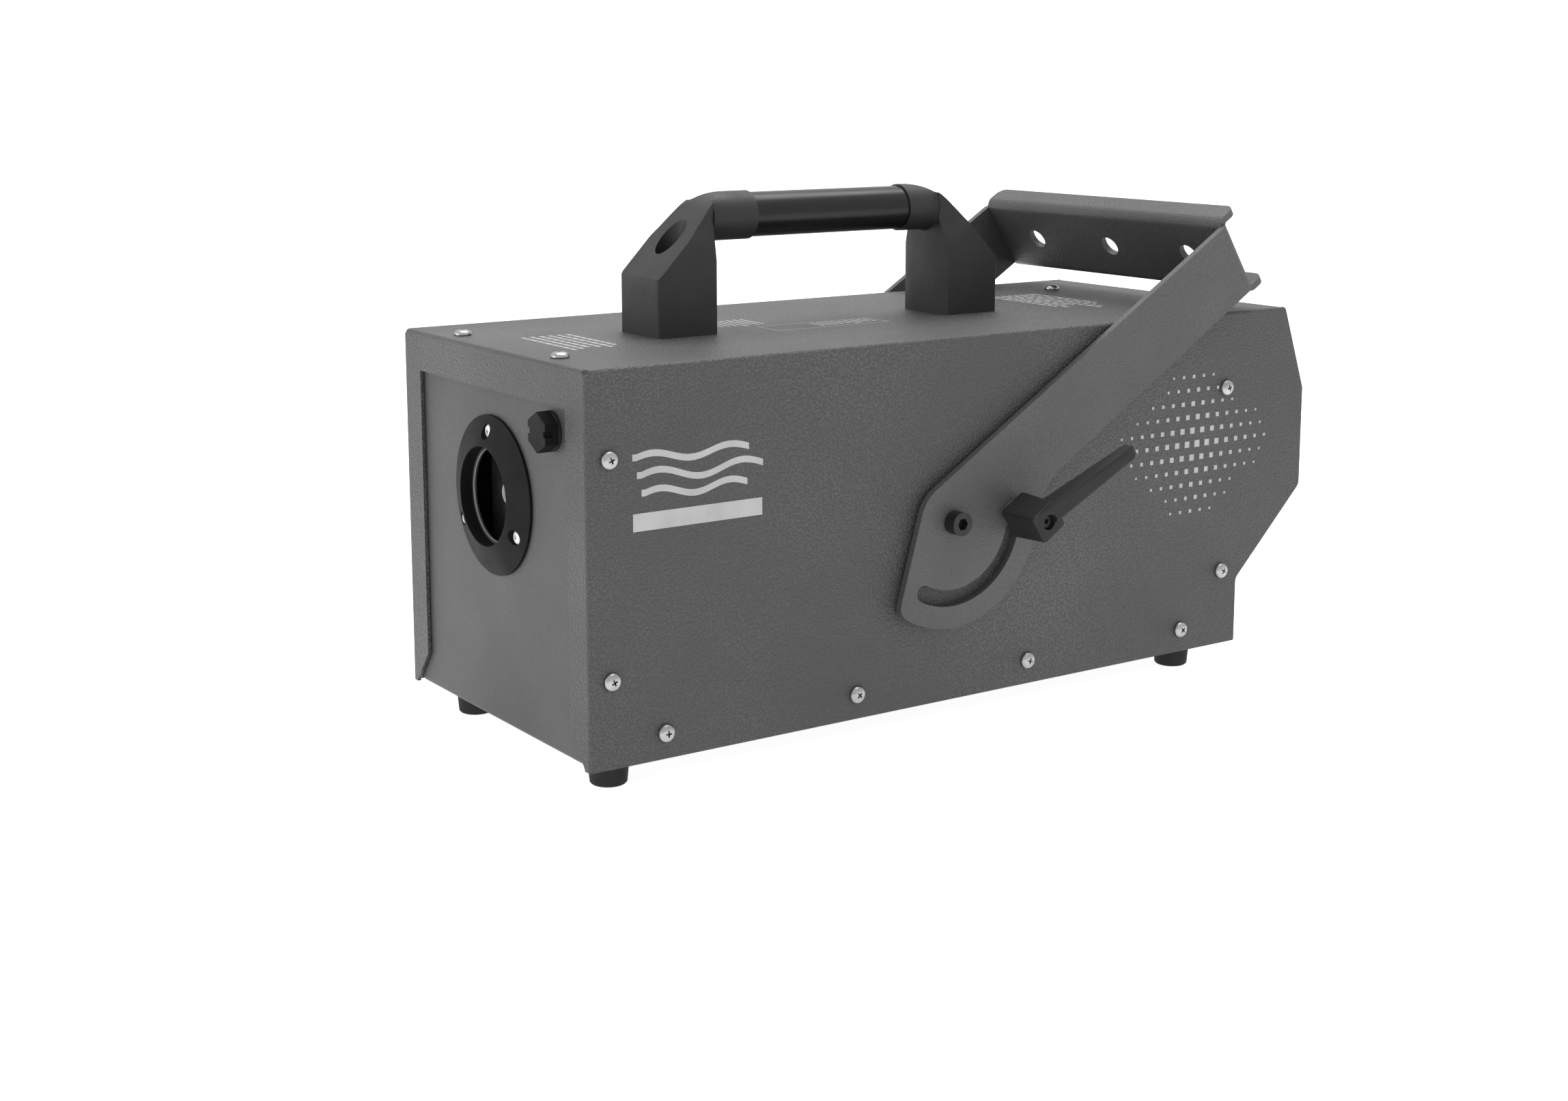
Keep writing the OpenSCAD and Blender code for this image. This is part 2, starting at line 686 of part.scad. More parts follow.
module pivot_screws() color("#6a6a6c") place() for (s = [0, 1]) mirror([s, 0, 0])
  translate([hub_x, pivot_y, pivot_z]) along_x() cap_screw(pivot_d, hub_x - plate_x + 3);

module pivot_bushes() color("#b59b5a") place() for (s = [0, 1]) mirror([s, 0, 0])
  translate([half_w, pivot_y, pivot_z]) along_x() difference() {
    union() {
      cylinder(h = yoke_gap - side_gap, r = bush_r + 5);
      cylinder(h = hub_x - half_w, r = bush_r);
    }
    translate([0, 0, -1]) cylinder(h = hub_x - half_w + 2, r = pivot_d / 2 + thread_gap);
  }

module clamp_spacers() color("#2b2b2c") place() for (s = [0, 1]) mirror([s, 0, 0])
  translate([half_w, stud_y, pivot_z]) along_x() difference() {
    cylinder(h = yoke_gap - side_gap, r = bush_r + 5);
    translate([0, 0, -1]) cylinder(h = yoke_gap + 2, r = pivot_d / 2 + thread_gap);
  }

// The arm and its lobe are drawn flat, with the pivot at 0 and the arm along +X.
// The lobe is a round of lobe_r with a rounded corner at its back and a hollow blend under the arm.
function arm_outline() = clean(concat(
  [[arm_end, -arm_w / 2], [arm_end, arm_w / 2]],
  arc([0, 0], back_r, 90, back_a, 8),
  arc(
    (back_r - heel_r) * [cos(back_a), sin(back_a)] + heel_s * [-sin(back_a), cos(back_a)],
    heel_r, back_a, back_a + heel_a, 6
  ),
  arc([0, 0], lobe_r, back_a + heel_a, 360 - blend_a, 24),
  arc([blend_u, -arm_w / 2 - blend_r], blend_r, 180 - blend_a, 90, 8)
));

// The curved slot, with round ends where the stud stops
function slot_outline() = clean(concat(
  arc([0, 0], slot_r + slot_w / 2, slot_from, slot_to, 30),
  arc(slot_r * [cos(slot_to), sin(slot_to)], slot_w / 2, slot_to, slot_to - 180, 10),
  arc([0, 0], slot_r - slot_w / 2, slot_to, slot_from, 30),
  arc(slot_r * [cos(slot_from), sin(slot_from)], slot_w / 2, slot_from + 180, slot_from, 10)
));

module flat_arm() difference() {
  linear_extrude(yoke_t) polygon(arm_outline());
  translate([0, 0, -1]) cylinder(h = yoke_t + 2, r = bush_r + bush_gap, $fn = 64);
  translate([0, 0, -1]) linear_extrude(yoke_t + 2) polygon(slot_outline());
}

// The crossbar is drawn flat in the arms' frame: local X runs from the pivot to the crossbar
module crossbar() difference() {
  union() {
    // the two bends into the arms
    for (s = [0, 1]) mirror([0, s, 0]) linear_extrude_centred(arm_w) polygon(rounded([
      [arm_end, arm_in_x, 0], [arm_end, arm_out_x, 0], [yoke_reach, arm_out_x, 5], [yoke_reach, arm_in_x, 0]
    ]));
    // the plate with its two lips, which bend away from the machine and have round corners
    intersection() {
      translate([0, lip_half, 0]) rotate([90, 0, 0]) linear_extrude(2 * lip_half) polygon(rounded([
        [yoke_reach - yoke_t, -lip_span / 2, 6], [yoke_reach - yoke_t, lip_span / 2, 6],
        [lip_end, lip_span / 2, 0], [lip_end, lip_span / 2 - yoke_t, 0],
        [yoke_reach, lip_span / 2 - yoke_t, 2], [yoke_reach, -lip_span / 2 + yoke_t, 2],
        [lip_end, -lip_span / 2 + yoke_t, 0], [lip_end, -lip_span / 2, 0]
      ]));
      linear_extrude_centred(lip_span + 2) polygon(rounded([
        [arm_end, -lip_half, 0], [lip_end, -lip_half, 6], [lip_end, lip_half, 6], [arm_end, lip_half, 0]
      ]));
    }
  }
  for (i = [-1:1])
    translate([yoke_reach - yoke_t - 1, i * clamp_pitch, 0]) rotate([0, 90, 0])
      cylinder(h = yoke_t + 2, d = clamp_hole_d);
}

module linear_extrude_centred(h) {
  translate([0, 0, -h / 2]) linear_extrude(h) children();
}

module yoke() color("#626264") place() translate([0, pivot_y, pivot_z]) rotate([yoke_tilt, 0, 0]) {
  for (s = [0, 1]) mirror([s, 0, 0]) translate([arm_in_x, 0, 0]) along_x() flat_arm();
  rotate([0, 0, 90]) crossbar();
}

// ---- Clamping levers, built for the right side and mirrored for the left ----

function star(r, depth, n) = [
  for (i = [0:n - 1]) for (k = [0, 1]) (r - k * depth) * ray((i + k / 2) * 360 / n)
];

module at_stud(side) {
  place() mirror([side < 0 ? 1 : 0, 0, 0]) translate([0, stud_y, pivot_z]) children();
}

module lever_hub(side) color("#c9c9cb") at_stud(side) difference() {
  union() {
    translate([plate_x - 3, 0, 0]) along_x() cylinder(h = hub_x - plate_x + 3 + eps, d = pivot_d);
    translate([hub_x, 0, 0]) along_x() cylinder(h = skirt_h, r = boss_r + 2);
    translate([boss_x - eps, 0, 0]) along_x() cylinder(h = boss_l + eps, r = boss_r - tooth_h);
    translate([boss_x + boss_l - tooth_l, 0, 0]) along_x() linear_extrude(tooth_l)
      polygon(star(boss_r, tooth_h * 0.9, tooth_n));
  }
  translate([boss_x + 2, 0, 0]) along_x() cylinder(h = boss_l, r = 2.5 + thread_gap);
}

module lever_screw(side) color("#2b2b2c") at_stud(side) difference() {
  union() {
    translate([cap_x, 0, 0]) along_x() cylinder(h = cap_h, r = cap_r);
    translate([boss_x + 3, 0, 0]) along_x() cylinder(h = cap_x - boss_x - 3 + eps, r = 2.5);
  }
  translate([cap_x + 1, 0, 0]) along_x() cylinder(h = cap_h, d = 3.2, $fn = 6);
}

module lever_spring(side) color("silver") at_stud(side) for (i = [0:2])
  translate([shoulder_x + shoulder_t + 0.55 + i * (spring_l - 1.1) / 2, 0, 0])
    along_x() rotate_extrude() translate([3.5, 0]) circle(r = 0.5, $fn = 16);

// The lever points along the yoke arm and rises away from the body towards its tip
module lever_handle(side) color("#2c2c2d") at_stud(side) difference() {
  rotate([yoke_tilt + lever_lean, 0, 0]) {
    hull() {
      translate([boss_x + 0.4, 0, 0]) lever_block(hub_w + hub_flare - 1, 1);
      translate([boss_x + 1.4, 0, 0]) lever_block(hub_w + hub_flare, 2);
      translate([face_x - 4, 0, 0]) lever_block(hub_w, 3.4);
      translate([face_x - 1, 0, 0]) lever_block(hub_w - 0.6, 1);
    }
    hull() {
      translate([face_x - arm_root_h, 1, arm_z]) lever_block(arm_root_w, arm_root_h);
      translate([face_x + lever_rise - arm_tip_h, lever_l - arm_tip_w / 2, arm_z])
        lever_block(arm_tip_w, arm_tip_h - 1);
      translate([face_x + lever_rise - arm_tip_h, lever_l - arm_tip_w / 2 - 1, arm_z])
        lever_block(arm_tip_w - 1.6, arm_tip_h);
    }
  }
  translate([boss_x, 0, 0]) along_x() cylinder(h = shoulder_x - boss_x - tooth_l - 1, r = boss_r + 0.6);
  translate([boss_x, 0, 0]) along_x() linear_extrude(shoulder_x - boss_x)
    polygon(star(boss_r + 0.35, tooth_h * 0.9, tooth_n));
  translate([boss_x, 0, 0]) along_x() cylinder(h = lever_l, r = 3.1);
  translate([shoulder_x + shoulder_t, 0, 0]) along_x() cylinder(h = lever_l, r = recess_r);
}

// A square block with rounded sides, w wide and h tall along X
module lever_block(w, h) {
  along_x() linear_extrude(h) polygon(rounded([
    [-w / 2, -w / 2, 2], [w / 2, -w / 2, 2], [w / 2, w / 2, 2], [-w / 2, w / 2, 2]
  ], 3));
}

module lever_hub_right() lever_hub(1);
module lever_hub_left() lever_hub(-1);
module lever_screw_right() lever_screw(1);
module lever_screw_left() lever_screw(-1);
module lever_spring_right() lever_spring(1);
module lever_spring_left() lever_spring(-1);
module lever_handle_right() lever_handle(1);
module lever_handle_left() lever_handle(-1);

// ---- Heater ----

module nozzle_tip() color("#d8c890") place() translate([0, tip_y, outlet_z]) along_y() difference() {
  union() {
    cylinder(h = 5, d1 = 11, d2 = 12.4);
    translate([0, 0, 5 - eps]) cylinder(h = heater_y - tray_t - tip_y - 5 + eps, r = 9, $fn = 6);
    cylinder(h = heater_y - tip_y + 10, r = 5);
  }
  translate([0, 0, -1]) cylinder(h = heater_y + 12, r = 1.2);
  translate([0, 0, -eps]) cylinder(h = 3, d1 = 7, d2 = 2.4);
}

module heater_block() color("#9a9a98") place() difference() {
  union() {
    slab(heater_w, heater_y, heater_l, outlet_z - heater_h / 2, heater_h);
    translate([pump_x, heater_end - eps, inlet_z]) along_y() cylinder(h = 14, r = barb_r);
  }
  translate([0, heater_y - 1, outlet_z]) along_y() cylinder(h = 12, r = 5 + thread_gap);
  translate([0, heater_y, outlet_z]) along_y() cylinder(h = heater_l - 16, r = 1.5);
  translate([pump_x, heater_y + 12, inlet_z]) along_y() cylinder(h = heater_l + 12, r = 1.5);
  rod_places() translate([0, 0, 10]) cylinder(h = heater_l, r = rod_r + thread_gap);
}

module rod_places() {
  for (x = [-20, 20]) translate([x, heater_y, outlet_z + 12]) along_y() children();
}

module heating_rods() color("#c4c4c0") place() rod_places() {
  translate([0, 0, 12]) cylinder(h = heater_l, r = rod_r);
  translate([0, 0, 12 + heater_l - eps]) cylinder(h = 8, r = rod_r - 1.5);
}

module heater_jacket() color("#d9d2c0") place() difference() {
  slab(heater_w + 2 * jacket_t, heater_y + 14, heater_l - 44,
    outlet_z - heater_h / 2 - jacket_t, heater_h + 2 * jacket_t);
  slab(heater_w + 0.4, heater_y, heater_l, outlet_z - heater_h / 2 - 0.2, heater_h + 0.4);
}

module heater_brackets() color("#b8b8ba") place() {
  top = outlet_z + heater_h / 2 - 4;
  difference() {
    union() {
      slab(heater_w - 8, heater_y - tray_t, tray_t, floor_z, top - floor_z);
      slab(heater_w - 8, heater_y - tray_t, 20, floor_z, tray_t);
    }
    translate([0, heater_y - tray_t - 1, outlet_z]) along_y() cylinder(h = tray_t + 2, r = 5 + thread_gap);
  }
  difference() {
    union() {
      slab(heater_w - 8, heater_end, tray_t, floor_z, top - floor_z);
      slab(heater_w - 8, heater_end + tray_t - 20, 20, floor_z, tray_t);
    }
    rod_places() cylinder(h = heater_l + 10, r = rod_r + 0.5);
    translate([pump_x, heater_end - 1, inlet_z]) along_y() cylinder(h = tray_t + 2, r = hose_r + 1);
  }
}

module thermostat() color("#cfcfd0") place() translate([-18, heater_end - 15, outlet_z + heater_h / 2]) {
  translate([-12, -6, 0]) cube([24, 12, 1.2]);
  cylinder(h = 8, r = 6);
  for (x = [-4, 2]) translate([x, -1, 8 - eps]) cube([2, 0.8, 7]);
}

module thermal_fuse() color("#d8d8da") place() translate([18, heater_end - 15, outlet_z + heater_h / 2]) {
  translate([-5, -6, 0]) cube([10, 12, 1.2]);
  translate([-8, 0, 3.2]) along_x() cylinder(h = 16, r = 2.4);
}

// ---- Pump and fluid path ----

module pump_coil() color("#2f4f7a") place() difference() {
  translate([pump_x, 0, 0]) slab(46, pump_y, coil_l, pump_z - 22, 44);
  translate([pump_x, pump_y - 1, pump_z]) along_y() cylinder(h = coil_l + 2, r = 9 + thread_gap);
}

module pump_head() color("#c8b070") place() translate([pump_x, pump_y - 6, pump_z]) along_y() difference() {
  union() {
    cylinder(h = coil_l + 12, r = 9);
    translate([0, 0, -16]) cylinder(h = coil_l + 44, r = barb_r);
  }
  translate([0, 0, -17]) cylinder(h = coil_l + 46, r = 1.2);
}

module pump_bracket() color("#b8b8ba") place() translate([pump_x, 0, 0]) {
  slab(52, pump_y - 6, coil_l + 12, floor_z, tray_t);
  for (x = [-26, 24]) translate([x, pump_y - 6, floor_z]) cube([2, coil_l + 12, 18]);
}

module pump_mounts() color("#222222") place() for (y = [pump_y + 2, pump_y + coil_l - 12])
  translate([pump_x, 0, 0]) slab(40, y, 10, floor_z + tray_t, pump_z - 22 - floor_z - tray_t);

// A straight length of hose from a point on, along +Z
module hose(l) {
  difference() {
    cylinder(h = l, r = hose_r);
    translate([0, 0, -1]) cylinder(h = l + 2, r = hose_in_r);
  }
}

module elbow() {
  rotate_extrude(angle = 90) translate([elbow_r, 0]) difference() {
    circle(r = hose_r);
    circle(r = hose_in_r);
  }
}

module supply_hose() color("#d6d6cc") place() translate([pump_x, pump_y + coil_l + 9, pump_z])
  along_y() hose(inner_y - 10 - pump_y - coil_l - 9);

module feed_hose() color("#d6d6cc") place() {
  translate([pump_x, heater_end + tray_t + 1, inlet_z]) along_y()
    hose(riser_y - elbow_r - heater_end - tray_t - 1);
  translate([pump_x, riser_y - elbow_r, inlet_z - elbow_r]) along_x() elbow();
  translate([pump_x, riser_y, pump_z + elbow_r]) hose(inlet_z - pump_z - 2 * elbow_r);
  translate([pump_x, riser_y + elbow_r, pump_z + elbow_r]) along_x() rotate([0, 0, 180]) elbow();
  translate([pump_x, riser_y + elbow_r, pump_z]) along_y() hose(pump_y - 9 - riser_y - elbow_r);
}

module fluid_coupling() color("#b9b9bb") place()
  translate([pump_x, inner_y, pump_z]) along_y() difference() {
    union() {
      translate([0, 0, -24]) cylinder(h = 25, r = barb_r);
      translate([0, 0, -5]) cylinder(h = 5 + tray_t + 20, r = coupling_r);
      translate([0, 0, -5]) cylinder(h = 5, r = 12, $fn = 6);
      translate([0, 0, tray_t]) cylinder(h = 5, r = 12, $fn = 6);
      translate([0, 0, tray_t + 9]) cylinder(h = 8, r = 9.6);
    }
    translate([0, 0, -25]) cylinder(h = 30, r = 1.2);
    translate([0, 0, tray_t + 6]) cylinder(h = 30, r = 5);
  }

// ---- Boards ----

module power_board() color("#2f6b45") place() translate([board_x, board_y, board_z]) {
  cube([board_w, board_l, 1.6]);
  translate([4, 8, 1.6 - eps]) cube([38, 34, 30]);
  translate([46, 6, 1.6 - eps]) cube([12, 50, 12]);
  translate([6, 52, 1.6 - eps]) cube([16, 28, 16]);
  for (i = [0:4]) translate([28 + i * 5.6, 66, 1.6 - eps]) cube([1.6, 40, 24]);
  translate([28, 66, 1.6 - eps]) cube([24, 40, 3]);
  for (y = [92, 108]) translate([13, y, 1.6 - eps]) cylinder(h = 22, r = 6.5);
}

module board_standoffs() color("#c8c8ca") place() {
  for (x = [board_x + 4, board_x + board_w - 4]) for (y = [board_y + 4, board_y + board_l - 4])
    translate([x, y, floor_z]) cylinder(h = board_z - floor_z, r = 2.5);
  for (x = [-1, 1]) for (z = [button_z - 12, window_z + window_h / 2 + 7])
    translate([window_x + x * (window_w / 2 + 4), inner_y - 9, z]) along_y() cylinder(h = 9, r = 2.5);
}

module control_board() color("#2f6b45") place() {
  translate([window_x, 0, 0]) {
    slab(window_w + 16, inner_y - 10.6, 1.6,
      button_z - 17, window_z + window_h / 2 + 12 - button_z + 17);
    slab(window_w - 8, inner_y - 9 - eps, 8, window_z - window_h / 2 + 3, window_h - 6);
  }
  for (i = [0:3]) translate([button_x(i), 0, 0]) slab(6, inner_y - 9 - eps, 4, button_z - 3, 6);
}

// ---- Rear panel fittings ----

function button_x(i) = window_x + (1.5 - i) * button_pitch;

module display_window() color([0.1, 0.12, 0.14, 0.8]) place() translate([window_x, 0, 0]) {
  slab(window_w, rear_y, 1.2, window_z - window_h / 2, window_h);
  slab(window_w - 4.4, inner_y, tray_t + eps, window_z - window_h / 2 + 2.2, window_h - 4.4);
}

module menu_button(i) color("#262627") place() translate([button_x(i), inner_y, button_z]) along_y() {
  translate([0, 0, -1.9]) cylinder(h = 1.6, r = button_d / 2 + 1.3);
  translate([0, 0, -3.4]) cylinder(h = 2, r = 1.6);
  translate([0, 0, -1]) cylinder(h = tray_t + button_travel + 1.4, d = button_d);
  translate([0, 0, tray_t + button_travel + 0.4 - eps])
    cylinder(h = 0.7, d1 = button_d, d2 = button_d - 1.6);
}

module button_menu() menu_button(0);
module button_up() menu_button(1);
module button_down() menu_button(2);
module button_enter() menu_button(3);

module power_inlet() color("#1c1c1d") place() translate([power_x, 0, power_z]) {
  difference() {
    union() {
      slab(50, rear_y, power_flange_t, -12, 24);
      slab(28, rear_y - 18, 18 + eps, -10, 20);
    }
    slab(24.4, rear_y - 14, 20, -8.2, 16.4);
    for (s = [-1, 1]) translate([s * power_screw_x, rear_y - 1, 0]) along_y()
      cylinder(h = 5, r = panel_screw_d / 2 + thread_gap);
  }
  for (p = [[-7, -2], [0, 2], [7, -2]])
    translate([p.x - 1, rear_y - 14 - eps, p.y - 2.5]) cube([2, 9, 5]);
}

module breaker_body() color("#1c1c1d") place()
  translate([breaker_x, inner_y, power_z]) along_y() difference() {
    union() {
      translate([0, 0, -22]) cylinder(h = 22, r = 9);
      cylinder(h = tray_t + 7, r = breaker_r);
      translate([0, 0, tray_t]) cylinder(h = 2.5, r = 8.6, $fn = 6);
    }
    translate([0, 0, -10]) cylinder(h = 40, r = breaker_button_r + 0.3);
  }

module breaker_button() color("#a01818") place() translate([breaker_x, inner_y, power_z]) along_y() {
  translate([0, 0, -5]) cylinder(h = tray_t + 15, r = breaker_button_r);
}

module switch_housing() color("#1c1c1d") place() translate([switch_x, 0, switch_z]) difference() {
  union() {
    slab(22.4, rear_y, 2, -8, 16);
    slab(19, rear_y - 16, 16 + eps, -6.4, 12.8);
  }
  slab(16.8, rear_y - 7, 12, -5.4, 10.8);
  translate([-9, rear_y - 1, 0]) along_x() cylinder(h = 18, r = 1.25);
}

module switch_rocker() color("#a01818") place()
  translate([switch_x, rear_y - 1, switch_z]) rotate([switch_tilt, 0, 0]) {
    side_profile([
      [-3, -2.4], [-3, 2.4], [0.5, 4.4], [4.6, 4.4], [3.4, 0], [4.6, -4.4], [0.5, -4.4]
    ], 16.2);
    translate([-8.9, 0, 0]) along_x() cylinder(h = 17.8, r = 1.2);
  }

module data_flange() {
  difference() {
    translate([-13, 0, -15.5]) cube([26, data_flange_t, 31]);
    for (s = [-1, 1]) translate([s * data_screw_x, -1, -s * data_screw_z]) along_y()
      cylinder(h = 5, r = panel_screw_d / 2 + thread_gap);
  }
  translate([0, -20, 0]) along_y() cylinder(h = 20 + eps, r = data_body_r);
}

module pin_ring(r) {
  for (i = [0:4]) rotate([0, 0, -126 - i * 72]) translate([r, 0, 0]) children();
}

module data_input() color("#1c1c1d") place() translate([data_x, rear_y, data_z[0]]) {
  difference() {
    data_flange();
    translate([0, -15, 0]) along_y() cylinder(h = 20, r = 9.4);
  }
  translate([0, -15 - eps, 0]) along_y() pin_ring(4.6) cylinder(h = 9, r = 0.8);
}

module data_output() color("#1c1c1d") place() translate([data_x, rear_y, data_z[1]]) difference() {
  data_flange();
  translate([0, -12, 0]) along_y() difference() {
    cylinder(h = 20, r = 9.3);
    translate([0, 0, -1]) cylinder(h = 13, r = 7.6);
  }
  translate([0, -12, 0]) along_y() pin_ring(4.6) cylinder(h = 20, r = 0.9);
  translate([-4, -14, 6.4]) cube([8, 20, 4.8]);
}

module output_latch() color("#c9c9cb") place() translate([data_x, rear_y, data_z[1]]) {
  translate([-3.6, -10, 6.8]) cube([7.2, 14, 4]);
}

module panel_screws() color("#2b2b2c") place() {
  for (p = power_screw_xz()) translate([p.x, rear_y + power_flange_t, p.y]) along_y()
    pan_screw(panel_screw_d, panel_screw_d + 2.6, 1.8, 6);
  for (p = data_screw_xz()) translate([p.x, rear_y + data_flange_t, p.y]) along_y()
    pan_screw(panel_screw_d, panel_screw_d + 2.6, 1.8, 6);
}

base_tray();
cover();
rear_panel();
side_screws();
top_screws();
rubber_feet();
foot_screws();
nozzle_ring();
ring_screws();
vent_plug();
vent_gasket();
vent_nut();
handle_front_leg();
handle_rear_leg();
handle_tube();
handle_screws();
pivot_plates();
pivot_screws();
pivot_bushes();
clamp_spacers();
yoke();
lever_hub_right();
lever_handle_right();
lever_screw_right();
lever_spring_right();
lever_hub_left();
lever_handle_left();
lever_screw_left();
lever_spring_left();
nozzle_tip();
heater_block();
heating_rods();
heater_jacket();
heater_brackets();
thermostat();
thermal_fuse();
pump_coil();
pump_head();
pump_bracket();
pump_mounts();
supply_hose();
feed_hose();
fluid_coupling();
power_board();
control_board();
board_standoffs();
display_window();
button_menu();
button_up();
button_down();
button_enter();
power_inlet();
breaker_body();
breaker_button();
switch_housing();
switch_rocker();
data_input();
data_output();
output_latch();
panel_screws();
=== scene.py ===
"""Looks of a fog machine on a clamped yoke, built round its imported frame."""

from __future__ import annotations

import json
import logging
import math
import random
from collections.abc import Callable, Iterable, Iterator, Sequence
from contextlib import contextmanager
from dataclasses import dataclass, field
from enum import Enum
from typing import Any

import bpy
from mathutils import Matrix, Vector


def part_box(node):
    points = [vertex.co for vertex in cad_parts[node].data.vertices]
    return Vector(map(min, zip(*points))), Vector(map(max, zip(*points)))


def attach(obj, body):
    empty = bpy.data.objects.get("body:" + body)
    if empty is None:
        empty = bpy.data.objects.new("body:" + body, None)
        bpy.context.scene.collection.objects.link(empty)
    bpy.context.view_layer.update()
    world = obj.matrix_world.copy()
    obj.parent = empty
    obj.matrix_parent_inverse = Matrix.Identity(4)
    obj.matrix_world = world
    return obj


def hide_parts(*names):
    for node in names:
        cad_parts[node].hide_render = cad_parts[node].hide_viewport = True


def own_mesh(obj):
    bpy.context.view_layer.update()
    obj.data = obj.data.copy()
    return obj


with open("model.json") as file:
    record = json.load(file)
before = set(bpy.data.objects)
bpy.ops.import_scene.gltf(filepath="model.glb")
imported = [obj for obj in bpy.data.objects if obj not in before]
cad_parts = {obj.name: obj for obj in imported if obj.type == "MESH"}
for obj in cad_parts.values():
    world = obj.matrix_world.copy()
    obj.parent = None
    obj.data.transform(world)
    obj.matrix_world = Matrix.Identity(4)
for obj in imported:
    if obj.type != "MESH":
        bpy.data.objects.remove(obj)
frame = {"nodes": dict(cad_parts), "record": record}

LOG = logging.getLogger("fog_machine")
MM = 0.001
Point = tuple[float, float, float]
Colour = tuple[float, float, float]
Rectangle = tuple[float, float, float, float]
Test = Callable[[Vector, Vector], bool]
Socket = bpy.types.NodeSocket


# ---- Named options ----


class Grain(Enum):
    """The kinds of surface relief that the finishes use."""

    POWDER = "powder coat"
    MOULDED = "mould texture"
    BRUSHED = "drawn or ground lines"
    TURNED = "turned rings"
    CAST = "cast skin"
    FIBRE = "matted fibre"
    SMOOTH = "smooth"


class Side(Enum):
    """The two flanks of the machine, as the sign of their X."""

    RIGHT = 1
    LEFT = -1

    @property
    def word(self) -> str:
        """The side's name as the frame's nodes spell it."""
        return self.name.lower()


class Drive(Enum):
    """The recess that a screwdriver or key turns."""

    CROSS = "cross"
    HEX = "hex"


class Face(Enum):
    """The outer faces that carry print, as the turn that lays a flat drawing on them."""

    TOP = (0.0, 0.0, 0.0)
    RIGHT = (math.pi / 2, 0.0, math.pi / 2)
    LEFT = (math.pi / 2, 0.0, -math.pi / 2)
    REAR = (math.pi / 2, 0.0, math.pi)


# ---- Materials ----


@dataclass
class Board:
    """A material's node tree, with short calls that add and join its nodes.

    Args:
        name: The material's name.
    """

    name: str
    material: bpy.types.Material = field(init=False)

    def __post_init__(self) -> None:
        """Makes the material and empties its tree down to the shader."""
        self.material = bpy.data.materials.new(self.name)
        self.material.use_nodes = True

    @property
    def shader(self) -> bpy.types.Node:
        """The material's Principled shader."""
        return self.material.node_tree.nodes["Principled BSDF"]

    def add(self, kind: str, values: dict[str, Any] | None = None, **settings: Any) -> bpy.types.Node:
        """Adds a node.

        Args:
            kind: The node's type, without its ShaderNode prefix.
            values: Constants for its input sockets, by socket name.
            **settings: Properties of the node itself.

        Returns:
            The new node.
        """
        node = self.material.node_tree.nodes.new(f"ShaderNode{kind}")
        for key, value in settings.items():
            setattr(node, key, value)
        for key, value in (values or {}).items():
            node.inputs[key].default_value = value
        return node

    def join(self, source: Socket, target: Socket) -> None:
        """Joins an output socket to an input socket."""
        self.material.node_tree.links.new(source, target)

    def place(self, stretch: Point = (1.0, 1.0, 1.0), shift: Point = (0.0, 0.0, 0.0)) -> Socket:
        """Object coordinates, stretched and shifted.

        Args:
            stretch: Scale along each axis.
            shift: Offset along each axis, in metres.

        Returns:
            The socket that carries the coordinates.
        """
        where = self.add("TexCoord")
        turn = self.add("Mapping", {"Scale": stretch, "Location": shift})
        self.join(where.outputs["Object"], turn.inputs["Vector"])
        return turn.outputs["Vector"]

    def noise(self, where: Socket, size: float, detail: float = 3.0) -> Socket:
        """Cloudy noise.

        Args:
            where: The coordinates that it reads.
            size: Width of its lumps, in metres.
            detail: Octaves of finer noise on top.

        Returns:
            The socket that carries the noise, from 0 to 1.
        """
        node = self.add("TexNoise", {"Scale": 1.0 / size, "Detail": detail, "Roughness": 0.55})
        self.join(where, node.inputs["Vector"])
        return node.outputs["Fac"]

    def cells(self, where: Socket, size: float) -> Socket:
        """Rounded cells, as on a powder coat.

        Args:
            where: The coordinates that they read.
            size: Width of a cell, in metres.

        Returns:
            The socket that carries the distance from each cell's middle.
        """
        node = self.add("TexVoronoi", {"Scale": 1.0 / size, "Smoothness": 0.6}, feature="SMOOTH_F1")
        self.join(where, node.inputs["Vector"])
        return node.outputs["Distance"]

    def remap(self, value: Socket, low: float, high: float, to_low: float, to_high: float) -> Socket:
        """Maps a value from one range to another and clamps it.

        Args:
            value: The socket that carries the value.
            low: Low end of its range.
            high: High end of its range.
            to_low: What the low end becomes.
            to_high: What the high end becomes.

        Returns:
            The socket that carries the mapped value.
        """
        ends = {"From Min": low, "From Max": high, "To Min": to_low, "To Max": to_high}
        node = self.add("MapRange", ends, clamp=True)
        self.join(value, node.inputs["Value"])
        return node.outputs["Result"]

    def blend(self, share: Socket, first: Colour | Socket, second: Colour | Socket) -> Socket:
        """Mixes two colours.

        Args:
            share: How much of the second colour shows, from 0 to 1.
            first: A constant colour or a socket.
            second: A constant colour or a socket.

        Returns:
            The socket that carries the mixed colour.
        """
        node = self.add("Mix", data_type="RGBA")
        self.join(share, node.inputs["Factor"])
        for socket, colour in ((node.inputs[6], first), (node.inputs[7], second)):
            if isinstance(colour, Socket):
                self.join(colour, socket)
            else:
                socket.default_value = (*colour, 1.0)
        return node.outputs[2]

    def sum(self, first: Socket, second: Socket, weight: float) -> Socket:
        """Adds a weighted value to another.

        Args:
            first: The value that counts in full.
            second: The value that is added to it.
            weight: What the second value is multiplied by.

        Returns:
            The socket that carries the sum.
        """
        node = self.add("Math", operation="MULTIPLY_ADD")
        self.join(second, node.inputs[0])
        node.inputs[1].default_value = weight
        self.join(first, node.inputs[2])
        return node.outputs[0]


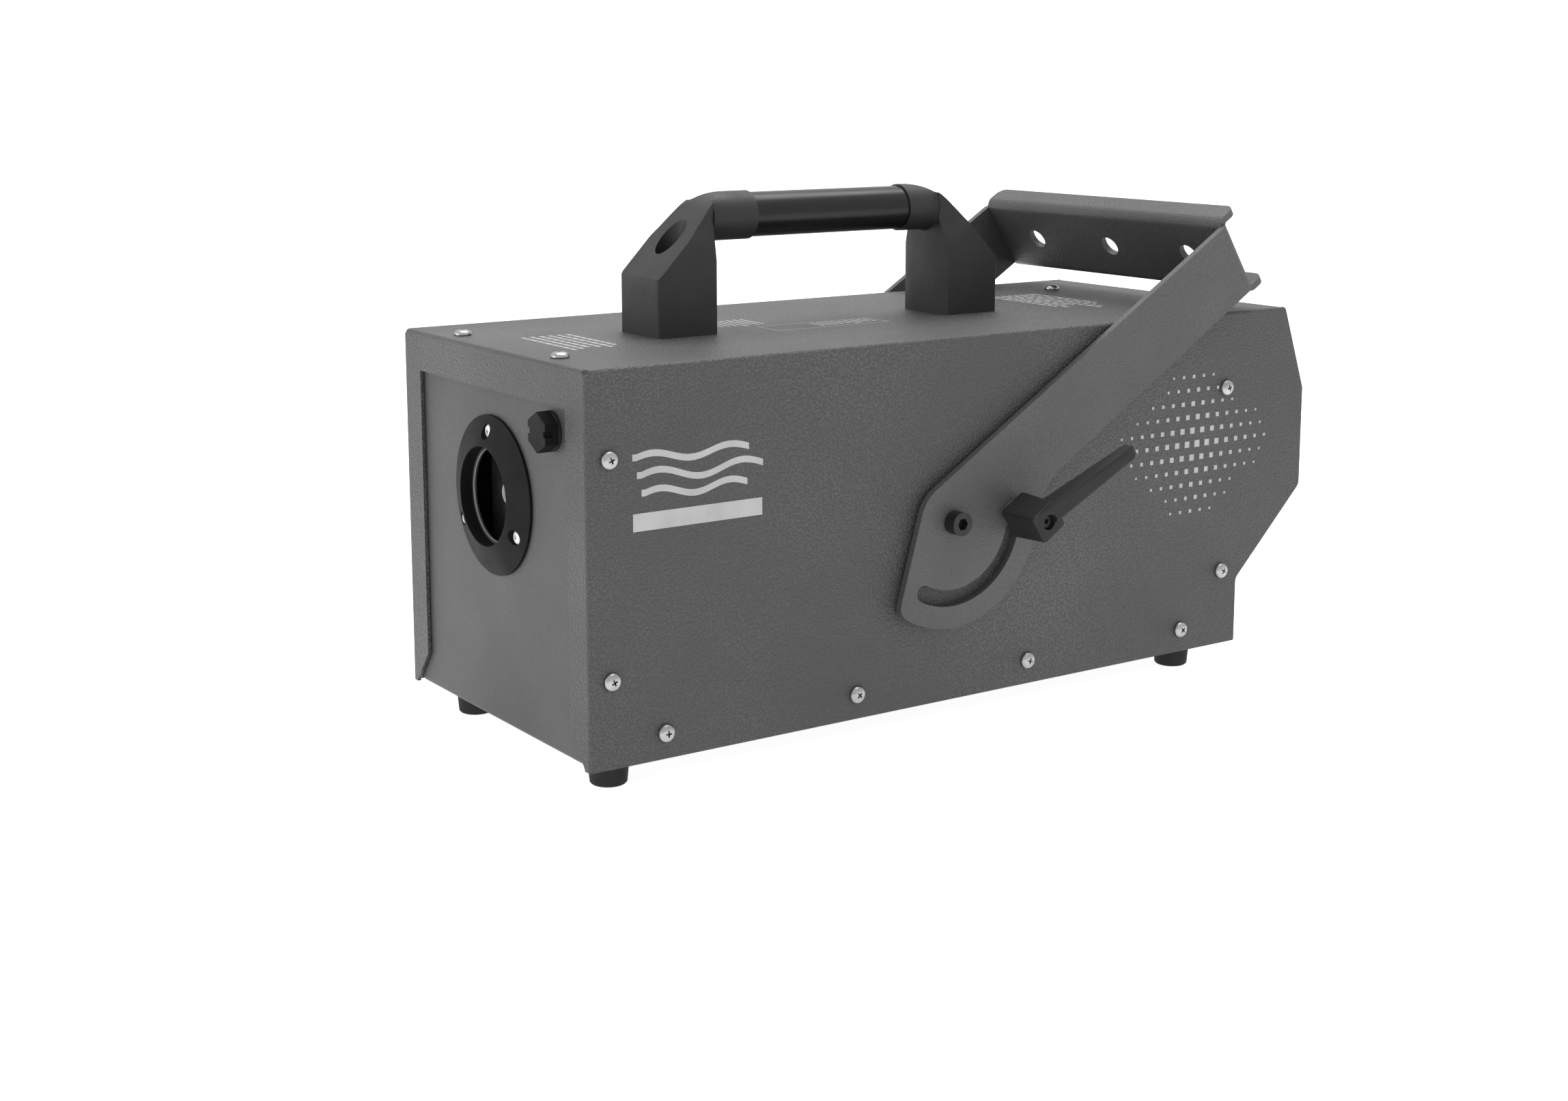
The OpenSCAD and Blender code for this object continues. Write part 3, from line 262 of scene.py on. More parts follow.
@dataclass(frozen=True)
class Finish:
    """A surface finish that shows grain, mottling, worn sheen and relief.

    Args:
        name: The material's name.
        colour: Linear colour of the sound surface.
        shade: Linear colour of its darker or dusty patches.
        roughness: Middle roughness.
        spread: How far the roughness wanders to each side.
        metallic: Metalness, from 0 to 1.
        grain: The kind of relief.
        grain_size: Size of one grain, in metres.
        grain_depth: Height of the relief, in metres.
        mottle_size: Size of the patches, in metres.
        scuff: Share of fine scratches, from 0 to 1.
        coat: Weight of a clear gloss coat.
        alpha: Opacity.
        specular: Level of the plain reflection, where 0.5 is usual.
        speckle: How strongly single grains stand out in colour, from 0 to 1.
    """

    name: str
    colour: Colour
    shade: Colour
    roughness: float
    spread: float = 0.06
    metallic: float = 0.0
    grain: Grain = Grain.MOULDED
    grain_size: float = 0.0006
    grain_depth: float = 0.00004
    mottle_size: float = 0.05
    scuff: float = 0.3
    coat: float = 0.0
    alpha: float = 1.0
    specular: float = 0.5
    speckle: float = 0.35

    def relief(self, board: Board) -> Socket:
        """The height field of the grain.

        Args:
            board: The node tree to draw it in.

        Returns:
            The socket that carries the height.
        """
        size = self.grain_size
        plain = board.place()
        if self.grain is Grain.POWDER:
            return board.sum(board.cells(plain, size), board.noise(plain, size * 0.45, 2.0), 0.6)
        if self.grain is Grain.BRUSHED:
            return board.noise(board.place((1.0, 0.03, 1.0)), size, 3.0)
        if self.grain is Grain.TURNED:
            return board.noise(board.place((0.05, 1.0, 0.05)), size, 2.0)
        if self.grain is Grain.CAST:
            return board.sum(board.noise(plain, size * 3.0, 5.0), board.noise(plain, size, 2.0), 0.4)
        if self.grain is Grain.FIBRE:
            strands = board.noise(board.place((1.0, 0.2, 1.0)), size, 4.0)
            return board.sum(strands, board.cells(plain, size * 2.0), 0.7)
        if self.grain is Grain.SMOOTH:
            return board.noise(plain, size * 8.0, 2.0)
        return board.sum(board.cells(plain, size), board.noise(plain, size * 2.5, 3.0), 0.5)

    def material(self) -> bpy.types.Material:
        """Builds the material.

        Returns:
            The finished procedural material.
        """
        board = Board(self.name)
        shader = board.shader
        plain = board.place()
        patches = board.remap(board.noise(plain, self.mottle_size, 5.0), 0.35, 0.7, 0.0, 1.0)
        colour = board.blend(patches, self.colour, self.shade)
        height = self.relief(board)
        speckle = board.remap(height, 0.35, 0.85, 0.0, self.speckle)
        colour = board.blend(speckle, colour, self.shade)
        lines = board.noise(board.place((1.0, 0.06, 0.5), (0.31, 0.17, 0.05)), 0.0011, 4.0)
        scratch = board.remap(lines, 0.72, 0.8, 0.0, 0.25 * self.scuff)
        colour = board.blend(scratch, colour, tuple(min(1.0, c * 1.6 + 0.05) for c in self.colour))
        board.join(colour, shader.inputs["Base Color"])
        wander = board.sum(board.noise(plain, self.mottle_size * 0.6, 4.0), scratch, 0.8)
        rough = board.remap(wander, 0.3, 0.75, self.roughness - self.spread, self.roughness + self.spread)
        board.join(rough, shader.inputs["Roughness"])
        bump = board.add("Bump", {"Strength": 1.0, "Distance": self.grain_depth})
        board.join(height, bump.inputs["Height"])
        board.join(bump.outputs["Normal"], shader.inputs["Normal"])
        shader.inputs["Metallic"].default_value = self.metallic
        shader.inputs["Specular IOR Level"].default_value = self.specular
        shader.inputs["Coat Weight"].default_value = self.coat
        shader.inputs["Coat Roughness"].default_value = 0.12
        shader.inputs["Alpha"].default_value = self.alpha
        return board.material


class Palette:
    """Every finish of the machine, built once and looked up by the record's slot."""

    FINISHES: dict[str, Finish] = {
        "cover_paint": Finish(
            "cover_powder_coat", (0.106, 0.106, 0.108), (0.042, 0.042, 0.043), 0.5, 0.06,
            grain=Grain.POWDER, grain_size=0.0013, grain_depth=0.00055, mottle_size=0.16, scuff=0.4,
            specular=0.4, speckle=1.0,
        ),
        # The tray takes the cover's powder coat painted about half as light: painted shade that offsets the
        # light the front panel gets from the front lamp and the glowing floor.
        "tray_paint": Finish(
            "tray_powder_coat", (0.056, 0.056, 0.057), (0.036, 0.036, 0.037), 0.52, 0.06,
            grain=Grain.POWDER, grain_size=0.0011, grain_depth=0.00018, mottle_size=0.12, scuff=0.3,
            specular=0.4, speckle=0.6,
        ),
        "yoke_paint": Finish(
            "yoke_powder_coat", (0.088, 0.088, 0.090), (0.046, 0.046, 0.047), 0.5, 0.07,
            grain=Grain.POWDER, grain_size=0.0011, grain_depth=0.00022, mottle_size=0.1, scuff=0.7,
            specular=0.4, speckle=0.7,
        ),
        "nickel_screw": Finish(
            "nickel_plate", (0.40, 0.40, 0.395), (0.30, 0.30, 0.295), 0.3, 0.04, 1.0,
            Grain.SMOOTH, 0.0005, 0.000006, 0.006, 0.3,
        ),
        "black_screw": Finish(
            "black_oxide", (0.016, 0.016, 0.017), (0.030, 0.028, 0.026), 0.36, 0.08, 0.5,
            Grain.CAST, 0.0004, 0.00002, 0.008, 0.6, specular=0.3,
        ),
        "zinc_steel": Finish(
            "zinc_plate", (0.55, 0.56, 0.57), (0.36, 0.37, 0.37), 0.34, 0.08, 1.0,
            Grain.BRUSHED, 0.0005, 0.00002, 0.02, 0.6,
        ),
        "foot_rubber": Finish(
            "foot_rubber", (0.008, 0.008, 0.008), (0.015, 0.015, 0.0145), 0.74, 0.08, 0.0,
            Grain.MOULDED, 0.0008, 0.00005, 0.015, 0.2, specular=0.3,
        ),
        "black_plastic": Finish(
            "black_nylon", (0.016, 0.016, 0.0165), (0.023, 0.023, 0.024), 0.5, 0.07, 0.0,
            Grain.MOULDED, 0.0006, 0.00005, 0.03, 0.4, specular=0.28,
        ),
        "ring_plastic": Finish(
            "outlet_nylon", (0.0045, 0.0045, 0.0047), (0.008, 0.008, 0.0083), 0.56, 0.06, 0.0,
            Grain.MOULDED, 0.0006, 0.00004, 0.02, 0.3, specular=0.08,
        ),
        "lever_plastic": Finish(
            "lever_nylon", (0.012, 0.012, 0.0123), (0.017, 0.017, 0.0175), 0.52, 0.06, 0.0,
            Grain.MOULDED, 0.0006, 0.00004, 0.02, 0.5, specular=0.2,
        ),
        "gloss_black": Finish(
            "gloss_black_plastic", (0.016, 0.016, 0.017), (0.024, 0.024, 0.025), 0.28, 0.06, 0.0,
            Grain.SMOOTH, 0.0006, 0.00001, 0.03, 0.4,
        ),
        "black_tube": Finish(
            "anodised_tube", (0.004, 0.004, 0.0042), (0.007, 0.007, 0.0073), 0.27, 0.05, 0.0,
            Grain.BRUSHED, 0.0006, 0.000012, 0.05, 0.4, specular=0.3,
        ),
        "brass": Finish(
            "turned_brass", (0.62, 0.44, 0.18), (0.40, 0.28, 0.12), 0.3, 0.07, 1.0,
            Grain.TURNED, 0.0004, 0.00002, 0.01, 0.4,
        ),
        "cast_aluminium": Finish(
            "cast_aluminium", (0.52, 0.52, 0.51), (0.36, 0.36, 0.35), 0.48, 0.08, 1.0,
            Grain.CAST, 0.0009, 0.00009, 0.03, 0.3,
        ),
        "insulation": Finish(
            "heater_insulation", (0.62, 0.58, 0.48), (0.48, 0.44, 0.35), 0.92, 0.05, 0.0,
            Grain.FIBRE, 0.0016, 0.0004, 0.03, 0.0,
        ),
        "blue_tape": Finish(
            "winding_tape", (0.04, 0.10, 0.26), (0.03, 0.07, 0.18), 0.35, 0.06, 0.0,
            Grain.BRUSHED, 0.0012, 0.00004, 0.02, 0.2,
        ),
        "clear_hose": Finish(
            "heat_hose", (0.66, 0.65, 0.58), (0.55, 0.54, 0.47), 0.35, 0.06, 0.0,
            Grain.SMOOTH, 0.0008, 0.00002, 0.02, 0.1,
        ),
        "board_green": Finish(
            "circuit_board", (0.02, 0.12, 0.05), (0.015, 0.09, 0.04), 0.38, 0.08, 0.0,
            Grain.FIBRE, 0.0008, 0.00003, 0.01, 0.1,
        ),
        "display_glass": Finish(
            "smoked_window", (0.010, 0.014, 0.018), (0.014, 0.018, 0.022), 0.09, 0.03, 0.0,
            Grain.SMOOTH, 0.002, 0.000005, 0.03, 0.2, 1.0,
        ),
        "red_plastic": Finish(
            "red_plastic", (0.42, 0.018, 0.015), (0.33, 0.012, 0.010), 0.3, 0.06, 0.0,
            Grain.SMOOTH, 0.0008, 0.00002, 0.01, 0.4,
        ),
        "spring_steel": Finish(
            "spring_wire", (0.42, 0.42, 0.43), (0.28, 0.28, 0.29), 0.32, 0.08, 1.0,
            Grain.BRUSHED, 0.0003, 0.00001, 0.004, 0.3,
        ),
        "print_ink": Finish(
            "pale_print", (0.38, 0.38, 0.385), (0.30, 0.30, 0.305), 0.5, 0.06, 0.0,
            Grain.POWDER, 0.00115, 0.00007, 0.02, 0.7,
        ),
        # A lighter, less metallic copy of the screw plating for the ring screws: its light colour is a
        # painted highlight for their brightly lit heads.
        "bright_zinc": Finish(
            "bright_zinc", (0.74, 0.74, 0.73), (0.56, 0.56, 0.55), 0.42, 0.05, 0.35,
            Grain.SMOOTH, 0.0004, 0.000006, 0.004, 0.3,
        ),
        "sooted_steel": Finish(
            "sooted_steel", (0.060, 0.058, 0.055), (0.030, 0.029, 0.028), 0.72, 0.08, 0.0,
            Grain.CAST, 0.0008, 0.0001, 0.008, 0.4,
        ),
        "tip_metal": Finish(
            "tip_metal", (0.36, 0.36, 0.35), (0.24, 0.24, 0.235), 0.4, 0.08, 0.3,
            Grain.TURNED, 0.0004, 0.00002, 0.006, 0.4,
        ),
        "bare_edge": Finish(
            "bare_cut_edge", (0.34, 0.34, 0.34), (0.22, 0.22, 0.22), 0.4, 0.08, 0.2,
            Grain.BRUSHED, 0.0004, 0.00002, 0.01, 0.6,
        ),
    }

    def __init__(self) -> None:
        """Starts with no material built."""
        self.built: dict[str, bpy.types.Material] = {}

    def get(self, slot: str) -> bpy.types.Material:
        """The material of a slot, built at its first use."""
        if slot not in self.built:
            self.built[slot] = self.FINISHES[slot].material()
        return self.built[slot]

    def dress(self, piece: bpy.types.Object, slot: str) -> None:
        """Gives a piece the slot's material as its only one."""
        piece.data.materials.clear()
        piece.data.materials.append(self.get(slot))


# ---- Bench tools ----


def deselect_all() -> None:
    """Leaves object mode with nothing selected."""
    if bpy.context.object and bpy.context.object.mode != "OBJECT":
        bpy.ops.object.mode_set(mode="OBJECT")
    bpy.ops.object.select_all(action="DESELECT")


def take(piece: bpy.types.Object) -> bpy.types.Object:
    """Selects only one piece and makes it active.

    Args:
        piece: The piece to work on.

    Returns:
        The same piece.
    """
    deselect_all()
    piece.select_set(True)
    bpy.context.view_layer.objects.active = piece
    return piece


@contextmanager
def editing(piece: bpy.types.Object, mode: str = "FACE") -> Iterator[bpy.types.Object]:
    """Holds a piece in edit mode.

    Args:
        piece: The mesh object to edit.
        mode: The select mode, VERT, EDGE or FACE.
    """
    take(piece)
    bpy.ops.object.mode_set(mode="EDIT")
    bpy.ops.mesh.select_mode(type=mode)
    yield piece
    bpy.ops.object.mode_set(mode="OBJECT")


def pick_faces(piece: bpy.types.Object, test: Test) -> int:
    """Selects the faces that pass a test, from edit mode.

    Args:
        piece: The piece being edited.
        test: Takes a face's centre and normal and says whether to select it.

    Returns:
        How many faces were selected.
    """
    bpy.ops.mesh.select_all(action="DESELECT")
    bpy.ops.object.mode_set(mode="OBJECT")
    count = 0
    for face in piece.data.polygons:
        face.select = test(face.center, face.normal)
        count += face.select
    bpy.ops.object.mode_set(mode="EDIT")
    return count


def settle(piece: bpy.types.Object) -> bpy.types.Object:
    """Applies a piece's place, turn and scale, so that its object sits at the origin."""
    take(piece)
    bpy.ops.object.transform_apply(location=True, rotation=True, scale=True)
    return piece


def apply_all(piece: bpy.types.Object) -> None:
    """Applies every modifier of a piece in order."""
    take(piece)
    for modifier in list(piece.modifiers):
        bpy.ops.object.modifier_apply(modifier=modifier.name)


def bevel(piece: bpy.types.Object, width: float, segments: int = 2, angle: float = 30.0) -> None:
    """Rounds a piece's sharp edges for good.

    Args:
        piece: The piece to round.
        width: Width of the rounding, in metres.
        segments: Facets across the rounding.
        angle: The sharpest angle, in degrees, that is left alone.
    """
    rounding = piece.modifiers.new("rounding", "BEVEL")
    rounding.width = width
    rounding.segments = segments
    rounding.limit_method = "ANGLE"
    rounding.angle_limit = math.radians(angle)
    rounding.use_clamp_overlap = True
    rounding.harden_normals = False
    apply_all(piece)


def smooth(piece: bpy.types.Object, angle: float = 32.0) -> None:
    """Shades a piece smooth up to an angle in degrees."""
    take(piece)
    bpy.ops.object.shade_smooth_by_angle(angle=math.radians(angle))


def split_faces(piece: bpy.types.Object) -> None:
    """Cuts wide faces into triangles, so that a face round a hole stays open."""
    with editing(piece):
        bpy.ops.mesh.select_all(action="SELECT")
        bpy.ops.mesh.quads_convert_to_tris(quad_method="BEAUTY", ngon_method="BEAUTY")


def level_normals(piece: bpy.types.Object) -> None:
    """Lets large flat faces rule the shading of their narrow rounded edges."""
    level = piece.modifiers.new("level", "WEIGHTED_NORMAL")
    level.mode = "FACE_AREA"
    level.weight = 100
    level.keep_sharp = True
    apply_all(piece)


def join_all(name: str, parts: Sequence[bpy.types.Object]) -> bpy.types.Object:
    """Joins finished meshes into one piece.

    Args:
        name: The name of the joined piece.
        parts: The meshes to join.

    Returns:
        The joined piece.
    """
    deselect_all()
    for part in parts:
        part.select_set(True)
    bpy.context.view_layer.objects.active = parts[0]
    bpy.ops.object.join()
    joined = bpy.context.object
    joined.name = joined.data.name = name
    return settle(joined)


def copies(model: bpy.types.Object, places: Iterable[Matrix]) -> list[bpy.types.Object]:
    """Copies a model, each copy with its own mesh.

    Args:
        model: The piece to copy.
        places: Where each copy goes.

    Returns:
        The copies.
    """
    made = []
    for place in places:
        mesh = model.data.copy()
        mesh.transform(place)
        copy = bpy.data.objects.new(model.name + "_copy", mesh)
        bpy.context.scene.collection.objects.link(copy)
        made.append(copy)
    return made


def discard(piece: bpy.types.Object) -> None:
    """Removes a model that was only needed for its copies or its cut."""
    bpy.data.objects.remove(piece)


def turned(name: str, rings: Sequence[tuple[float, float]], sides: int = 48) -> bpy.types.Object:
    """A closed turned piece about Z, drawn up from its foot.

    Args:
        name: The piece's name.
        rings: (radius, height) of each ring from the foot to the top, in metres.
        sides: Sides of each ring.

    Returns:
        The piece, at the origin.
    """
    radius, height = rings[0]
    deselect_all()
    foot = (0, 0, height)
    bpy.ops.mesh.primitive_circle_add(vertices=sides, radius=radius, fill_type="NGON", location=foot)
    piece = settle(bpy.context.object)
    piece.name = name
    with editing(piece):
        bpy.ops.mesh.select_all(action="SELECT")
        bpy.ops.mesh.flip_normals()
        bpy.ops.mesh.extrude_region_move(TRANSFORM_OT_translate={"value": (0, 0, 0)})
        for next_radius, next_height in rings[1:]:
            bpy.ops.transform.translate(value=(0, 0, next_height - height))
            ratio = next_radius / radius
            bpy.ops.transform.resize(value=(ratio, ratio, 1), center_override=(0, 0, next_height))
            radius, height = next_radius, next_height
            if (next_radius, next_height) != rings[-1]:
                bpy.ops.mesh.extrude_region_move(TRANSFORM_OT_translate={"value": (0, 0, 0)})
        bpy.ops.mesh.select_all(action="SELECT")
        bpy.ops.mesh.normals_make_consistent(inside=False)
    return piece


def middle(node: str) -> Vector:
    """The middle of a frame node's box."""
    low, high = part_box(node)
    return (low + high) / 2


def body_of(node: str) -> str:
    """The body that a frame node belongs to."""
    bodies = frame["record"]["behaviour"]["bodies"]
    return next(body for body, nodes in bodies.items() if node in nodes)


def slot_of(node: str) -> str:
    """The record's material slot of a frame node."""
    parts = frame["record"]["subparts"]
    return next(part["material_slot"] for part in parts if part["node"] == node)


def welded(node: str, name: str) -> bpy.types.Object:
    """A copy of a frame node whose loose triangles are joined into clean faces.

    Args:
        node: The frame node.
        name: The copy's name.

    Returns:
        The copy, at the origin.
    """
    piece = bpy.data.objects.new(name, frame["nodes"][node].data.copy())
    piece.data.materials.clear()
    bpy.context.scene.collection.objects.link(piece)
    take(piece)
    bpy.ops.mesh.customdata_custom_splitnormals_clear()
    with editing(piece, "VERT"):
        bpy.ops.mesh.select_all(action="SELECT")
        bpy.ops.mesh.remove_doubles(threshold=0.000002)
        bpy.ops.mesh.dissolve_limited(angle_limit=math.radians(0.4))
    return piece


def islands(node: str) -> list[tuple[Vector, Vector]]:
    """The boxes of a frame node's separate solids.

    Args:
        node: The frame node.

    Returns:
        (low, high) of each solid.
    """
    copy = welded(node, "islands")
    with editing(copy, "VERT"):
        bpy.ops.mesh.select_all(action="SELECT")
        bpy.ops.mesh.separate(type="LOOSE")
    found = []
    for part in list(bpy.context.selected_objects):
        spots = [v.co for v in part.data.vertices]
        low = Vector(min(c[i] for c in spots) for i in range(3))
        high = Vector(max(c[i] for c in spots) for i in range(3))
        found.append((low, high))
        discard(part)
    return sorted(found, key=lambda box: tuple(round(c, 4) for c in box[0]))


class Workshop:
    """Hands pieces over to the frame: each gets its slot's finish and a body, and hides the nodes that it
    stands for.
    """

    def __init__(self, palette: Palette) -> None:
        """Keeps the palette and an empty list of pieces."""
        self.palette = palette
        self.made: list[str] = []
        self.taken: set[str] = set()

    def hand_over(
        self, piece: bpy.types.Object, slot: str, body: str, *nodes: str, finish: str = ""
    ) -> bpy.types.Object:
        """Finishes a piece and lets it ride.

        Args:
            piece: The piece, in place.
            slot: Its slot in the record, or a finish of its own.
            body: The body that it moves with.
            *nodes: Frame nodes that it stands for.
            finish: Its finish, where that is not the slot's usual one.

        Returns:
            The piece.
        """
        self.palette.dress(piece, finish or slot)
        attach(piece, body)
        if nodes:
            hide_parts(*nodes)
            self.taken.update(nodes)
        self.made.append(piece.name)
        LOG.info("piece %s rides on %s with %s", piece.name, body, slot)
        return piece

    def soften(
        self, node: str, width: float, segments: int = 2, angle: float = 30.0, finish: str = "",
        split: bool = False,
    ) -> bpy.types.Object:
        """Replaces a frame node with a copy whose edges are rounded.

        Args:
            node: The frame node.
            width: Width of the rounding, in metres.
            segments: Facets across the rounding.
            angle: The sharpest angle, in degrees, that is left alone.
            finish: Its finish, where that is not the slot's usual one.
            split: Whether its faces run round holes and are split first.

        Returns:
            The new piece.
        """
        piece = welded(node, f"{node}_soft")
        if split:
            split_faces(piece)
        bevel(piece, width, segments, angle)
        smooth(piece, 34.0)
        level_normals(piece)
        return self.hand_over(piece, slot_of(node), body_of(node), node, finish=finish)

    def dress_the_rest(self, own: dict[str, str]) -> None:
        """Gives every frame node that still shows its procedural finish.

        Args:
            own: Finishes of nodes that don't take their slot's usual one.
        """
        for node, shown in frame["nodes"].items():
            if node not in self.taken:
                self.palette.dress(shown, own.get(node, slot_of(node)))
                LOG.info("node %s keeps its shape with %s", node, slot_of(node))


# ---- Pieces ----


@dataclass
class HeadedScrew:
    """A screw with a low crowned head, modelled once and copied.

    Args:
        name: Name of the model.
        head: Diameter of the head, in metres.
        height: Height of the head, in metres.
        shank: Diameter of the shank, in metres.
        length: Length of the shank, in metres.
        seed: Seed of the recess angles.
        drive: The recess in the head.
    """

    name: str
    head: float
    height: float
    shank: float
    length: float
    seed: int = 3
    drive: Drive = Drive.CROSS

    # Shares of the head's radius and height, from its rim to the top of its crown.
    CROWN = (
        (0.97, 0.0), (1.0, 0.06), (1.0, 0.24), (0.975, 0.42), (0.90, 0.62), (0.77, 0.79), (0.58, 0.91),
        (0.34, 0.98), (0.12, 1.0),
    )
    HEX_SHARES = (0.38, 0.8)
    ARM_SHARES = (0.54, 0.115, 1.3)
    ARM_TAPER = (0.36, 0.62)

    def recess(self) -> bpy.types.Object:
        """The shape that is cut out of the head."""
        if self.drive is Drive.HEX:
            deselect_all()
            across, depth = self.head * self.HEX_SHARES[0], self.height * self.HEX_SHARES[1]
            centre = (0, 0, self.height * 1.05 - depth / 2)
            bpy.ops.mesh.primitive_cylinder_add(vertices=6, radius=across / 2, depth=depth, location=centre)
            return settle(bpy.context.object)
        length, width, depth = self.ARM_SHARES
        ends, flanks = self.ARM_TAPER
        arms = []
        for turn in (0.0, math.pi / 2):
            deselect_all()
            bpy.ops.mesh.primitive_cube_add(size=1.0, location=(0, 0, self.height), rotation=(0, 0, turn))
            arm = bpy.context.object
            arm.scale = (self.head * length, self.head * width, self.height * depth)
            settle(arm)
            with editing(arm):
                pick_faces(arm, lambda centre, normal: normal.z < -0.9)
                taper = (ends, flanks, flanks) if turn == 0.0 else (flanks, ends, flanks)
                bpy.ops.transform.resize(value=taper)
            arms.append(arm)
        return join_all("driver", arms)

    def model(self) -> bpy.types.Object:
        """The screw along Z with the underside of its head at 0."""
        r, h = self.head / 2, self.height
        shank = [(self.shank / 2, -self.length), (self.shank / 2, 0.0)]
        piece = turned(self.name, shank + [(r * out, h * up) for out, up in self.CROWN], 40)
        trim = piece.modifiers.new("recess", "BOOLEAN")
        cutter = self.recess()
        trim.operation, trim.solver, trim.object = "DIFFERENCE", "EXACT", cutter
        trim.use_self = True
        apply_all(piece)
        discard(cutter)
        smooth(piece, 38.0)
        return piece

    def stamp(self, name: str, places: Sequence[tuple[Vector, Vector]]) -> bpy.types.Object:
        """Copies the screw to its holes.

        Args:
            name: Name of the joined piece.
            places: (seat, outward direction) of each screw.

        Returns:
            All the screws as one piece.
        """
        rng = random.Random(self.seed)
        model = self.model()
        spots = []
        for seat, outward in places:
            turn = outward.to_track_quat("Z", "Y").to_matrix().to_4x4()
            spin = Matrix.Rotation(rng.uniform(0.0, math.pi / 2), 4, "Z")
            spots.append(Matrix.Translation(seat) @ turn @ spin)
        screws = copies(model, spots)
        discard(model)
        return join_all(name, screws)


@dataclass
class Print:
    """Flat printed marks, drawn in millimetres on a face of the machine.

    Args:
        name: The piece's name.
        face: The face that carries it.
        origin: Where the drawing's origin lies, in metres.
        proud: Thickness of the ink, in metres.
    """

    name: str
    face: Face
    origin: Point
    proud: float = 0.00006
    bars: list[Rectangle] = field(default_factory=list)
    ribbons: list[tuple[list[tuple[float, float]], float]] = field(default_factory=list)

    def text_rows(self, left: float, top: float, width: float, rows: int, pitch: float, seed: int) -> None:
        """Adds rows of plain dashes in place of small print.

        Args:
            left: Left edge.
            top: Top edge.
            width: Longest row.
            rows: Number of rows.
            pitch: Distance between rows.
            seed: Seed of the dash lengths.
        """
        rng = random.Random(seed)
        for row in range(rows):
            x, end = left, left + width * rng.uniform(0.72, 1.0)
            while x < end:
                dash = rng.uniform(0.05, 0.13) * width
                y = top - row * pitch
                self.bars.append((x, y - pitch * 0.42, min(x + dash, end), y))
                x += dash + width * 0.02

    def outline(self, left: float, low: float, right: float, high: float, line: float) -> None:
        """Adds a rectangular frame of the given line width."""
        self.bars += [
            (left, low, right, low + line), (left, high - line, right, high),
            (left, low + line, left + line, high - line), (right - line, low + line, right, high - line),
        ]

    def wave(
        self, left: float, height: float, width: float, rise: float, line: float, turns: float
    ) -> None:
        """Adds a drifting wave line.

        Args:
            left: Left end.
            height: Height of its middle line.
            width: Length from end to end.
            rise: Height of a crest.
            line: Width of the line.
            turns: Full waves along it.
        """
        steps = 28
        path = [
            (left + width * i / steps, height + rise * math.sin(turns * math.tau * i / steps))
            for i in range(steps + 1)
        ]
        self.ribbons.append((path, line))

    def ribbon(self, path: Sequence[tuple[float, float]], line: float) -> bpy.types.Object:
        """Draws a strip out along a path, edge by edge.

        Args:
            path: Points of its middle line.
            line: Width of the strip.

        Returns:
            The flat strip.
        """
        deselect_all()
        (x0, y0), (x1, _) = path[0], path[1]
        bpy.ops.mesh.primitive_plane_add(size=1.0)
        strip = bpy.context.object
        strip.scale = ((x1 - x0) * MM, line * MM, 1.0)
        strip.location = ((x0 + x1) / 2 * MM, y0 * MM, 0.0)
        settle(strip)
        with editing(strip, "EDGE"):
            bpy.ops.mesh.select_all(action="DESELECT")
            bpy.ops.object.mode_set(mode="OBJECT")
            far = max(v.co.x for v in strip.data.vertices) - 1e-7
            for edge in strip.data.edges:
                edge.select = all(strip.data.vertices[i].co.x > far for i in edge.vertices)
            bpy.ops.object.mode_set(mode="EDIT")
            for (ax, ay), (bx, by) in zip(path[1:], path[2:]):
                step = ((bx - ax) * MM, (by - ay) * MM, 0.0)
                bpy.ops.mesh.extrude_region_move(TRANSFORM_OT_translate={"value": step})
        return strip

    def build(self) -> bpy.types.Object:
        """Draws every mark flat, gives the ink its thickness and lays it on its face.

        Returns:
            The printed piece, in place.
        """
        parts = [self.ribbon(path, line) for path, line in self.ribbons]
        for left, low, right, high in self.bars:
            deselect_all()
            centre = ((left + right) / 2 * MM, (low + high) / 2 * MM, 0.0)
            bpy.ops.mesh.primitive_plane_add(size=1.0, location=centre)
            bar = bpy.context.object
            bar.scale = ((right - left) * MM, (high - low) * MM, 1.0)
            parts.append(settle(bar))
        ink = join_all(self.name, parts)
        with editing(ink):
            bpy.ops.mesh.select_all(action="SELECT")
            bpy.ops.mesh.extrude_region_move(TRANSFORM_OT_translate={"value": (0, 0, self.proud)})
            bpy.ops.mesh.select_all(action="SELECT")
            bpy.ops.mesh.normals_make_consistent(inside=False)
        ink.rotation_euler = self.face.value
        ink.location = self.origin
        return settle(ink)


